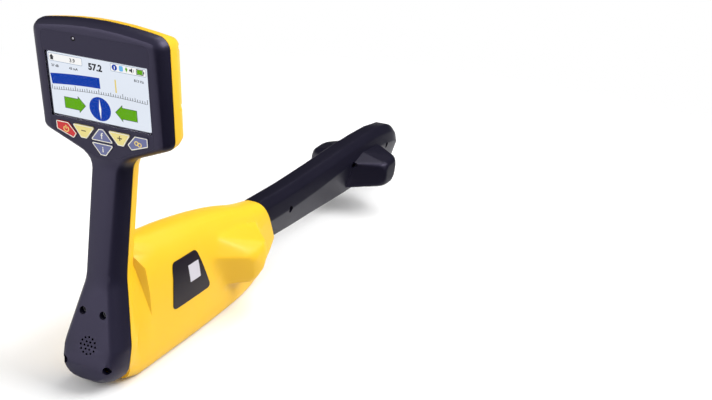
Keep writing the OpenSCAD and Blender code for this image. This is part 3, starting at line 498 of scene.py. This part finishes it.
# %% [markdown]
# The screen is a lit liquid-crystal panel. Its picture is built as thin printed layers on
# the panel's face: a pale field first, then coloured shapes, then marks on those shapes. An
# image could carry it too, but shapes stay crisp from near. Most of them are cut from a plane,
# a disc or a polygon, so there is one small helper for each.

# %% Flat shapes
DISC_SIDES = 36


def edit_all(*steps):
    """Runs edit-mode steps with the whole active mesh selected."""
    bpy.ops.object.mode_set(mode="EDIT")
    bpy.ops.mesh.select_all(action="SELECT")
    for step in steps:
        step()
    bpy.ops.object.mode_set(mode="OBJECT")
    return bpy.context.object


def flat_box(left, right, bottom, top, rounding=0):
    clear_selection()
    bpy.ops.mesh.primitive_plane_add(size=1)
    bpy.ops.transform.resize(value=((right - left) * MM, (top - bottom) * MM, 1))
    bpy.ops.transform.translate(value=((left + right) / 2 * MM, (bottom + top) / 2 * MM, 0))
    bpy.ops.object.transform_apply()
    if rounding:
        edit_all(lambda: bpy.ops.mesh.bevel(offset=rounding * MM, segments=4, affect="VERTICES"))
    return bpy.context.object


def flat_disc(across, up, radius, sides=DISC_SIDES):
    clear_selection()
    bpy.ops.mesh.primitive_circle_add(vertices=sides, radius=radius * MM, fill_type="NGON")
    bpy.ops.transform.translate(value=(across * MM, up * MM, 0))
    bpy.ops.object.transform_apply()
    return bpy.context.object


def face_up(shape):
    """Turns a flat shape over if it looks down."""
    if shape.data.polygons[0].normal.z < 0:
        edit_all(bpy.ops.mesh.flip_normals)
    return shape


def flat_polygon(points):
    """A polygon: a disc with one corner for each point, whose corners are then placed."""
    shape = flat_disc(0, 0, 1, len(points))
    for corner, point in zip(shape.data.vertices, points):
        corner.co = (point[0] * MM, point[1] * MM, 0)
    shape.data.update()
    return face_up(shape)


print("sides of a disc:", DISC_SIDES)

# %% [markdown]
# A print is a film of ink a few hundredths of a millimetre thick. Its flat parts are joined,
# thickened by a Solidify modifier and carried to the display's plane. A bump would be lighter,
# but a real film can ride on a key and move with it.

# %% Prints on the display's plane
INK = 0.02


def join(parts, name):
    select_only(parts[0])
    for part in parts[1:]:
        part.select_set(True)
    if len(parts) > 1:
        bpy.ops.object.join()
    parts[0].name = name
    return parts[0]


def settle(piece, place):
    """Moves a finished mesh to its place and leaves the object at the origin."""
    select_only(piece)
    piece.matrix_world = place
    bpy.ops.object.transform_apply()


def printed(name, parts, material, height, body, depth=INK):
    """Joins flat parts into one thin print at a height above the display's plane."""
    piece = join(parts, name)
    thick = piece.modifiers.new("ink", "SOLIDIFY")
    thick.thickness = depth * MM
    thick.offset = 1
    bpy.ops.object.modifier_apply(modifier=thick.name)
    bpy.ops.object.shade_flat()
    settle(piece, FACE @ Matrix.Translation((0, 0, height * MM)))
    paint(piece, material)
    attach(piece, body)
    return piece


print("ink:", INK, "mm")

# %% [markdown]
# A lit screen shines by itself, so its colours are emission. The backlight is never quite
# even: a broad noise makes it a little brighter in some places than in others.

# %% Screen colours
SCREEN_GLOW = 0.94
WHITE_GLOW = 0.95
BACKLIGHT_DIP = 0.94
SCREEN_OFF = (0.002, 0.002, 0.003, 1)


def lit(name, colour, glow=SCREEN_GLOW):
    """A colour of the lit screen, slightly uneven."""
    material, tree, shader = new_material(name)
    place = add_node(tree, "TexCoord")
    patchy = add_node(tree, "TexNoise", Scale=30.0, Detail=1.0)
    tree.links.new(place.outputs["Object"], patchy.inputs["Vector"])
    tint = add_node(tree, "Mix", data_type="RGBA")
    tint.inputs["A"].default_value = tuple(c * BACKLIGHT_DIP for c in colour) + (1,)
    tint.inputs["B"].default_value = colour + (1,)
    tree.links.new(patchy.outputs["Fac"], tint.inputs["Factor"])
    tree.links.new(tint.outputs["Result"], shader.inputs["Emission Color"])
    shader.inputs["Emission Strength"].default_value = glow
    shader.inputs["Base Color"].default_value = SCREEN_OFF
    shader.inputs["Specular IOR Level"].default_value = 0
    return material


pale_pixels = lit("screen_pale", (0.84, 0.90, 1.0))
white_pixels = lit("screen_white", (1.0, 1.0, 1.0), WHITE_GLOW)
blue_pixels = lit("screen_blue", (0.005, 0.05, 0.42))
sky_pixels = lit("screen_sky", (0.18, 0.52, 0.9))
green_pixels = lit("screen_green", (0.13, 0.43, 0.006))
dark_pixels = lit("screen_dark", (0.012, 0.014, 0.02))
grey_pixels = lit("screen_grey", (0.32, 0.42, 0.55))
yellow_pixels = lit("screen_yellow", (0.86, 0.66, 0.16))
print("screen colours:", len([m for m in bpy.data.materials if m.name.startswith("screen_")]))

# %% [markdown]
# First layer: the pale field. It is as thick as the stack of glass that is bonded to the
# panel's face, so the picture lies close behind the window. Then come the two boxes of the
# status row, each with a grey frame. A frame is a polygon with rounded corners that is inset by
# its width, and only the ring is kept. A margin, where there is one, is inset and cut off first.

# %% Screen field
STACK_BACK = -3.39
STACK = 1.76
SCREEN_FACE = STACK_BACK + STACK
FIELD = (-47.4, 47.4, -26.9, 26.9)
FIELD_ROUNDING = 0.8
STATUS = [(-46.6, -13.6, 19.3, 26.2), (13.4, 46.8, 20.0, 26.7)]
STATUS_ROUNDING = 1.2
FRAME_LINE = 0.4


def flat_frame(corners, rounding, margin, width):
    """A line round a polygon's edge, at a margin inside it."""
    shape = flat_polygon(corners)
    if rounding:
        edit_all(lambda: bpy.ops.mesh.bevel(offset=rounding * MM, segments=3, affect="VERTICES"))
    if margin:
        edit_all(
            lambda: bpy.ops.mesh.inset(thickness=margin * MM),
            lambda: bpy.ops.mesh.select_all(action="INVERT"),
            lambda: bpy.ops.mesh.delete(type="FACE"),
        )
    edit_all(
        lambda: bpy.ops.mesh.inset(thickness=width * MM),
        lambda: bpy.ops.mesh.delete(type="FACE"),
    )
    return shape


def box_corners(left, right, bottom, top):
    return [(left, bottom), (right, bottom), (right, top), (left, top)]


def on_screen(name, parts, colour, layer):
    """Prints parts on the screen, a number of layers of ink above its field."""
    printed(name, parts, colour, SCREEN_FACE + layer * INK, "casing")


field = printed("screen_field", [flat_box(*FIELD, FIELD_ROUNDING)],
                pale_pixels, STACK_BACK, "casing", STACK)
on_screen("screen_status_boxes", [flat_box(*box, STATUS_ROUNDING) for box in STATUS],
          white_pixels, 0)
status_frames = [flat_frame(box_corners(*box), STATUS_ROUNDING, 0, FRAME_LINE) for box in STATUS]
on_screen("screen_status_frames", status_frames, grey_pixels, 1)
print("field:", [round(x / MM, 1) for x in field.dimensions], "mm")

# %% [markdown]
# The bar across the screen shows signal strength. It is a slice of a wide ring, and so is
# the line of the tick scale under it: both share a centre far below the screen. An edge spun
# round that centre makes them. One tick is a thin box, every fifth is longer and every tenth
# the longest. The round dial and a small badge share the bar's blue and are printed with it.

# %% Signal bar and tick scale
BAR_CENTRE = (14, -490)
BAR_RADIUS = 497.5
BAR_HALF = 4.6
BAR_LEFT, BAR_RIGHT = -46.1, 1.8
SCALE_END = 46
SCALE_INNER, SCALE_OUTER = BAR_RADIUS - 9.5, BAR_RADIUS - 9.2
TICK_COUNT = 41
TICK_PITCH = 2.3
TICK_HALF = 0.25
TICK_DROP = 9.3
TICK, FIFTH_TICK, TENTH_TICK = 2.2, 3.0, 3.9


def flat_arc(centre, inner, outer, start, sweep, steps=24):
    """A curved band: a short edge is drawn out of one point, and spun round the centre."""
    shape = flat_disc(0, 0, 0.1, 3)
    ray = Vector((math.cos(math.radians(start)), math.sin(math.radians(start)), 0)) * MM
    hub = Vector((centre[0], centre[1], 0)) * MM
    edit_all(
        lambda: bpy.ops.mesh.merge(type="CENTER"),
        lambda: bpy.ops.transform.translate(value=hub + ray * inner),
        lambda: bpy.ops.mesh.extrude_region_move(
            TRANSFORM_OT_translate={"value": ray * (outer - inner)}),
        lambda: bpy.ops.mesh.select_all(action="SELECT"),
        lambda: bpy.ops.mesh.spin(
            steps=steps, angle=-math.radians(sweep), center=hub, axis=(0, 0, 1)),
    )
    return face_up(shape)


def along_arc(across, rise):
    """The height of the bar's circle, by its place across the screen."""
    reach = BAR_RADIUS + rise
    return BAR_CENTRE[1] + math.sqrt(reach ** 2 - (across - BAR_CENTRE[0]) ** 2)


def arc_angle(across):
    return math.degrees(math.acos((across - BAR_CENTRE[0]) / BAR_RADIUS))


bar = flat_arc(BAR_CENTRE, BAR_RADIUS - BAR_HALF, BAR_RADIUS + BAR_HALF, arc_angle(BAR_RIGHT),
               arc_angle(BAR_LEFT) - arc_angle(BAR_RIGHT))
dial = flat_disc(-0.4, -15.2, 10.4, 56)
badge = flat_disc(17.3, 23.5, 2.5)
on_screen("screen_blue_marks", [bar, dial, badge], blue_pixels, 1)
ticks = []
for step in range(TICK_COUNT):
    across = -SCALE_END + step * TICK_PITCH
    height = TENTH_TICK if step % 10 == 0 else FIFTH_TICK if step % 5 == 0 else TICK
    foot = along_arc(across, 0) - TICK_DROP
    ticks.append(flat_box(across - TICK_HALF, across + TICK_HALF, foot, foot + height))
scale_line = flat_arc(BAR_CENTRE, SCALE_INNER, SCALE_OUTER, arc_angle(SCALE_END),
                      arc_angle(-SCALE_END) - arc_angle(SCALE_END))
on_screen("screen_tick_scale", ticks + [scale_line], dark_pixels, 1)
print("ticks:", len(ticks), "bar top:", round(along_arc(BAR_RIGHT, BAR_HALF), 1), "mm")

# %% [markdown]
# Two green arrows tell the user which way to move. One is drawn as a polygon of seven
# corners, and the other is the same polygon mirrored about the middle. A pin and the battery's
# charge share their green. The arrows' dark edges and a yellow marker are prints of their own.

# %% Direction arrows
ARROW = [(-35.3, -10.1), (-21.6, -10.1), (-21.6, -7.7), (-14.2, -15.1),
         (-21.2, -22.5), (-21.2, -20.2), (-35.3, -20.2)]
arrow_pair = [[(side * x, y) for x, y in ARROW] for side in (1, -1)]
arrows = [flat_polygon(corners) for corners in arrow_pair]
pin = flat_polygon([(27.3, 23.9), (28.5, 21.2), (29.7, 23.9), (28.5, 25.8)])
charge = flat_box(38.4, 43.6, 21.6, 25.1)
on_screen("screen_green_marks", arrows + [pin, charge], green_pixels, 1)
arrow_edges = [flat_frame(corners, 0, 0, FRAME_LINE) for corners in arrow_pair]
on_screen("screen_arrow_edges", arrow_edges, dark_pixels, 2)
on_screen("screen_marker", [flat_box(16.3, 17.6, 1.9, 13.2, 0.3)], yellow_pixels, 1)
print("arrow length:", round(ARROW[3][0] - ARROW[0][0], 1), "mm")

# %% [markdown]
# The figures and small signs are dark: the depth, the gain, the current, the frequency, a
# loudspeaker and a battery outline. Figures come from a text object that is made a mesh. A
# text's size is larger than the height of its figures, so the height is scaled up.

# %% Figures and small signs
CAP_TO_SIZE = 1.39
TEXT_WELD = 1e-7


def flat_text(words, across, up, height, align="LEFT", weight=0.03):
    clear_selection()
    bpy.ops.object.text_add()
    text = bpy.context.object
    text.data.body = words
    text.data.size = height * CAP_TO_SIZE * MM
    text.data.align_x = align
    text.data.offset = weight * height * MM
    text.data.resolution_u = 3
    bpy.ops.object.convert(target="MESH")
    bpy.ops.transform.translate(value=(across * MM, up * MM, 0))
    bpy.ops.object.transform_apply()
    return edit_all(lambda: bpy.ops.mesh.remove_doubles(threshold=TEXT_WELD))


battery_case = [flat_box(37.7, 44.3, 25.2, 25.7), flat_box(37.7, 44.3, 21.0, 21.5),
                flat_box(37.7, 38.2, 21.5, 25.2), flat_box(43.8, 44.3, 21.5, 25.2),
                flat_box(44.4, 45.1, 22.4, 24.3)]
loudspeaker = [flat_box(31.2, 32.3, 22.7, 24.3),
               flat_polygon([(32.4, 22.7), (34, 21.3), (34, 25.7), (32.4, 24.3)]),
               flat_arc((33.6, 23.5), 1.6, 2.0, -40, 80, 8)]
home = [flat_polygon([(-45.6, 22.6), (-41.2, 22.6), (-43.4, 25.2)]),
        flat_box(-44.8, -42.0, 20.4, 22.5)]
figures = [flat_text("57.2", -8.0, 17.8, 5.5, weight=0.06), flat_text("3.9", -26.0, 21.0, 3.2),
           flat_text("27 dB", -44.5, 14.6, 2.2), flat_text("43 mA", -27.0, 14.6, 2.2),
           flat_text("813 Hz", 35.0, 14.6, 2.2)]
on_screen("screen_dark_marks", battery_case + loudspeaker + home + figures, dark_pixels, 1)
on_screen("screen_sky_marks", [flat_box(21.6, 25.4, 21.2, 25.8, 1.2)], sky_pixels, 1)
needle = flat_polygon([(-1.5, -15.2), (-0.4, -6.3), (0.7, -15.2), (-0.4, -24.3)])
badge_mark = flat_box(16.9, 17.7, 22.0, 24.6)
on_screen("screen_white_marks", [needle, badge_mark], white_pixels, 2)

# %% [markdown]
# Each key has a pale line printed round its edge. The line is the same kind of frame as on
# the screen, made from the key's own corners. They get the key's own rounding too, so that the
# line stays clear of the panel. The print rides on the key and moves when the key is pressed.

# %% Key outlines
KEY_FACE = 0.81
KEY_MARGIN = 0.2
KEY_LINE = 0.75
KEY_INK = 0.03
KEY_CORNER = 1
CORNER_STEPS = 5
ROW, LOW = -32.0, -43.3
LEFT_KEYS = {
    "power": [(-44.6, ROW), (-32.7, ROW), (-25.0, LOW + 2.5), (-28.4, LOW - 1.9),
              (-44.6, LOW + 3.8)],
    "minus": [(-28.3, ROW), (-6.4, ROW), (-15.3, LOW), (-20.8, LOW)],
}
KEYS = {
    **LEFT_KEYS,
    "function": [(11.2, LOW + 0.3), (2.3, ROW), (-2.3, ROW), (-11.2, LOW + 0.3)],
    "info": [(2.6, LOW - 12.3), (11.0, LOW - 1.7), (-11.0, LOW - 1.7), (-2.6, LOW - 12.3)],
    "plus": [(-x, y) for x, y in LEFT_KEYS["minus"]],
    "link": [(-x, y) for x, y in LEFT_KEYS["power"]],
}
pale_ink = moulded("key_print_pale", (0.90, 0.87, 0.76), 0.5, grain=0.05)
dark_ink = moulded("key_print_dark", (0.10, 0.07, 0.03), 0.5, grain=0.05)
gold_ink = moulded("key_print_gold", (0.90, 0.68, 0.20), 0.5, grain=0.05)


def rounded(corners, radius):
    """The corners of a polygon, each turned into a few points on an arc of one radius."""
    points = []
    for index, corner in enumerate(corners):
        here, before = Vector(corner), Vector(corners[index - 1])
        after = Vector(corners[(index + 1) % len(corners)])
        back, forth = (before - here).normalized(), (after - here).normalized()
        half = back.angle(forth) / 2
        hub = here + (back + forth).normalized() * radius / math.sin(half)
        start = here + back * radius / math.tan(half) - hub
        end = here + forth * radius / math.tan(half) - hub
        points += [tuple(hub + start.slerp(end, step / CORNER_STEPS))
                   for step in range(CORNER_STEPS + 1)]
    return points


for name, corners in KEYS.items():
    outline = rounded(corners, KEY_CORNER)
    printed(name + "_key_line", [flat_frame(outline, 0, KEY_MARGIN, KEY_LINE)], pale_ink, KEY_FACE,
            name + "_key_body", KEY_INK)
print("key lines:", len(KEYS))

# %% [markdown]
# The signs on the keys are the ones found on many instruments: a power ring, minus, f, i,
# plus and a pair of linked rings. Each is cut from the same flat shapes. The second ring is a
# print of its own, a little higher, so that the two can cross.

# %% Key signs
RING_INNER, RING_OUTER = 1.2, 2.1
RING_LIFT = 0.04
SIGN_STEPS = 28
SIGN_WEIGHT = 0.02


def flat_ring(centre):
    return flat_arc(centre, RING_INNER, RING_OUTER, 0, 360, SIGN_STEPS)


signs = {
    "power": ([flat_arc((-35.2, -38.3), 1.9, 2.8, 125, 290, SIGN_STEPS),
               flat_box(-35.65, -34.75, -38.2, -34.8)], gold_ink),
    "minus": ([flat_box(-19.9, -15.5, -37.2, -36.3)], dark_ink),
    "plus": ([flat_box(15.5, 19.9, -37.2, -36.3), flat_box(17.25, 18.15, -36.3, -34.5),
              flat_box(17.25, 18.15, -39.0, -37.2)], dark_ink),
    "function": ([flat_text("f", 0, -40.6, 5.6, "CENTER", SIGN_WEIGHT)], pale_ink),
    "info": ([flat_text("i", 0, -52.6, 5.2, "CENTER", SIGN_WEIGHT)], pale_ink),
    "link": ([flat_ring((33.8, -38.0))], gold_ink),
}
for name, (parts, ink) in signs.items():
    printed(name + "_key_sign", parts, ink, KEY_FACE, name + "_key_body", KEY_INK)
printed("link_key_ring", [flat_ring((36.6, -38.9))], gold_ink, KEY_FACE + RING_LIFT,
        "link_key_body", KEY_INK)
print("key signs:", len(signs))

# %% [markdown]
# The pods on the body's flanks and the wings on the blade hold the ends of two antennas. Their
# tools are milled with ball cutters, so every edge is round, and the pods flow into the flank.
# The solids have their flat planes. A bevel would need clean edges, so a copy of each shell is
# relaxed there instead: its long edges are halved until the triangles are small, and then each
# corner moves towards its neighbours a few times. Flat places stay flat, and edges get round.

# %% Soft pods and wings
EDGE_GRAIN = 3.2 * MM
CUT_LENGTHS = (24 * MM, 12 * MM, 6 * MM, EDGE_GRAIN, EDGE_GRAIN)
CUT_MARGIN = Vector((9, 9, 9)) * MM
NEARLY_FLAT = math.radians(4)
POD_ZONE = (Vector((36, -121, 57)) * MM, Vector((17, 77, 47)) * MM)
WING_ZONE = (Vector((41, 215, 56)) * MM, Vector((15, 60, 30)) * MM)
POD_ROUNDS, WING_ROUNDS = 24, 8


def in_zone(point, zone):
    """True for a point in a box, given by its middle and reach, or in the box mirrored in x."""
    middle, reach = zone
    away = Vector((abs(point.x), point.y, point.z)) - middle
    return all(abs(away[k]) < reach[k] for k in range(3))


def pick_faces(piece, test):
    """Selects the faces of a mesh that pass a test, and enters edit mode."""
    edit_all(lambda: bpy.ops.mesh.select_all(action="DESELECT"),
             lambda: bpy.ops.mesh.select_mode(type="FACE"))
    for face in piece.data.polygons:
        face.select = test(face)
    bpy.ops.object.mode_set(mode="EDIT")


def pick_long_edges(piece, zone, longest):
    """Selects the edges in a zone that are too long to bend, and enters edit mode."""
    edit_all(lambda: bpy.ops.mesh.select_mode(type="EDGE"),
             lambda: bpy.ops.mesh.select_all(action="DESELECT"))
    corners = [v.co for v in piece.data.vertices]
    for edge in piece.data.edges:
        start, end = (corners[k] for k in edge.vertices)
        edge.select = (start - end).length > longest and in_zone((start + end) / 2, zone)
    bpy.ops.object.mode_set(mode="EDIT")


def relaxed(name, zone, rounds):
    """A copy of a solid whose edges are rounded inside a zone."""
    piece = bpy.data.objects.new(name + "_soft", nodes[name].data.copy())
    bpy.context.collection.objects.link(piece)
    select_only(piece)
    edit_all(lambda: bpy.ops.mesh.remove_doubles(threshold=WELD_GAP))
    wider = (zone[0], zone[1] + CUT_MARGIN)
    for longest in CUT_LENGTHS:
        pick_long_edges(piece, wider, longest)
        bpy.ops.mesh.subdivide(number_cuts=1)
        bpy.ops.object.mode_set(mode="OBJECT")
        pick_faces(piece, lambda face: in_zone(face.center, wider))
        bpy.ops.mesh.quads_convert_to_tris(quad_method="BEAUTY", ngon_method="BEAUTY")
        bpy.ops.mesh.beautify_fill(angle_limit=NEARLY_FLAT)
        bpy.ops.object.mode_set(mode="OBJECT")
    pick_faces(piece, lambda face: in_zone(face.center, zone))
    bpy.ops.mesh.vertices_smooth(factor=0.5, repeat=rounds)
    bpy.ops.object.mode_set(mode="OBJECT")
    smooth_solid(piece)
    return piece


for name, zone, rounds, material, slot in (
        ("main_housing", POD_ZONE, POD_ROUNDS, yellow_plastic, "yellow_shell"),
        ("antenna_case_right", WING_ZONE, WING_ROUNDS, blade_plastic, "blade_shell"),
        ("antenna_case_left", WING_ZONE, WING_ROUNDS, blade_plastic, "blade_shell")):
    shell = relaxed(name, zone, rounds)
    paint(shell, material)
    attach(shell, "casing")
    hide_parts(name)
    print(shell.name, "faces:", len(shell.data.polygons))

# %% [markdown]
# The shells are held by small socket-head screws. One is modelled: a turned cylinder gets a
# bevelled rim, a socket with the outline of a six-lobed star, and a shank. It could be lathed
# from a profile, but the socket has to be cut from a flat face, and a cylinder has one.

# %% One socket screw
LOBES = (1.0, 0.86, 0.7, 0.86)
SIDES = 6 * len(LOBES)
RIM = 0.12
DOME = 0.1
SOCKET_WALL = 0.3
SOCKET_DEPTH = 0.6
FACING = 0.9


def socket_screw(radius, height, shank_radius, shank_length):
    """A screw along z with the outer face of its head at the origin."""
    clear_selection()
    bpy.ops.mesh.primitive_cylinder_add(vertices=SIDES, radius=radius, depth=height)
    bpy.ops.transform.translate(value=(0, 0, -height / 2))
    bpy.ops.object.transform_apply()
    screw = bpy.context.object
    pick_faces(screw, lambda face: face.normal.z > FACING)
    bpy.ops.mesh.inset(thickness=radius * RIM)
    bpy.ops.transform.translate(value=(0, 0, radius * DOME))
    bpy.ops.mesh.inset(thickness=radius * SOCKET_WALL)
    bpy.ops.object.mode_set(mode="OBJECT")
    star = [f for f in screw.data.polygons if f.select][0]
    for count, index in enumerate(star.vertices):
        corner = screw.data.vertices[index]
        corner.co.x *= LOBES[count % len(LOBES)]
        corner.co.y *= LOBES[count % len(LOBES)]
    bpy.ops.object.mode_set(mode="EDIT")
    bpy.ops.mesh.extrude_region_move(
        TRANSFORM_OT_translate={"value": (0, 0, -height * SOCKET_DEPTH)})
    bpy.ops.object.mode_set(mode="OBJECT")
    pick_faces(screw, lambda face: face.normal.z < -FACING)
    bpy.ops.mesh.inset(thickness=radius - shank_radius)
    bpy.ops.mesh.extrude_region_move(TRANSFORM_OT_translate={"value": (0, 0, -shank_length)})
    bpy.ops.object.mode_set(mode="OBJECT")
    bpy.ops.transform.translate(value=(0, 0, -radius * DOME))
    bpy.ops.object.transform_apply()
    bpy.ops.object.shade_smooth_by_angle(angle=CREASE)
    return screw


print("lobes:", SIDES // len(LOBES), "of", len(LOBES), "corners each")

# %% [markdown]
# Four screws hold the heel, four the head, three the blade's halves and one the door. The
# first of each kind is modelled and copied to the other holes. The holes are found from the
# solids, one for each island, which is a set of triangles that share corners. Each corner is
# known by its rounded place, and a triangle joins the islands of its corners.

# %% Screws in their holes
TURN = {("Y", -1): Matrix.Rotation(math.radians(90), 4, "X"),
        ("Y", 1): Matrix.Rotation(math.radians(-90), 4, "X"),
        ("X", 1): Matrix.Rotation(math.radians(90), 4, "Y"),
        ("Z", -1): Matrix.Rotation(math.radians(180), 4, "X")}
LEVEL = Matrix.Identity(4)
HEAD_TO_RADIUS = 0.73
HEAD_TO_LENGTH = 0.4
SHANK_TO_RADIUS = 0.42


def islands(name, axes):
    """Low and high corners of each loose island of a solid, in the given axes."""
    back = axes.inverted()
    mesh = nodes[name].data
    keys = [tuple(round(c / MM, 3) for c in v.co) for v in mesh.vertices]
    parent = {key: key for key in keys}

    def root(key):
        while parent[key] != key:
            key = parent[key]
        return key

    for face in mesh.polygons:
        first = root(keys[face.vertices[0]])
        for index in face.vertices[1:]:
            parent[root(keys[index])] = first
    groups = {}
    for key in parent:
        groups.setdefault(root(key), []).append(back @ (Vector(key) * MM))
    return [(Vector(map(min, zip(*g))), Vector(map(max, zip(*g)))) for g in groups.values()]


def fit_screws(name, axes, axis, sign):
    """Copies one socket screw to each of a solid's plain screws, facing out along an axis."""
    lengthwise = "XYZ".index(axis)
    spots = sorted(islands(name, axes), key=lambda box: tuple(box[0]))
    wide = spots[0][1] - spots[0][0]
    length = wide[lengthwise]
    wide[lengthwise] = 0
    radius = max(wide) / 2
    head = min(HEAD_TO_RADIUS * radius, HEAD_TO_LENGTH * length)
    screws = [socket_screw(radius, head, radius * SHANK_TO_RADIUS, length - head)]
    while len(screws) < len(spots):
        bpy.ops.object.duplicate()
        screws.append(bpy.context.object)
    for screw, (low, high) in zip(screws, spots):
        out = (low + high) / 2
        out[lengthwise] = high[lengthwise] if sign > 0 else low[lengthwise]
        settle(screw, axes @ Matrix.Translation(out) @ TURN[axis, sign])
    piece = join(screws, name + "_detailed")
    paint(piece, screw_steel)
    return piece, len(spots)


for name, axes, axis, sign, body in (("heel_screws", LEVEL, "Y", -1, "casing"),
                                     ("head_screws", HEAD, "Y", 1, "casing"),
                                     ("case_screws", LEVEL, "X", 1, "casing"),
                                     ("door_screw", LEVEL, "Z", -1, "door")):
    piece, count = fit_screws(name, axes, axis, sign)
    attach(piece, body)
    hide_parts(name)
    print(name, count)
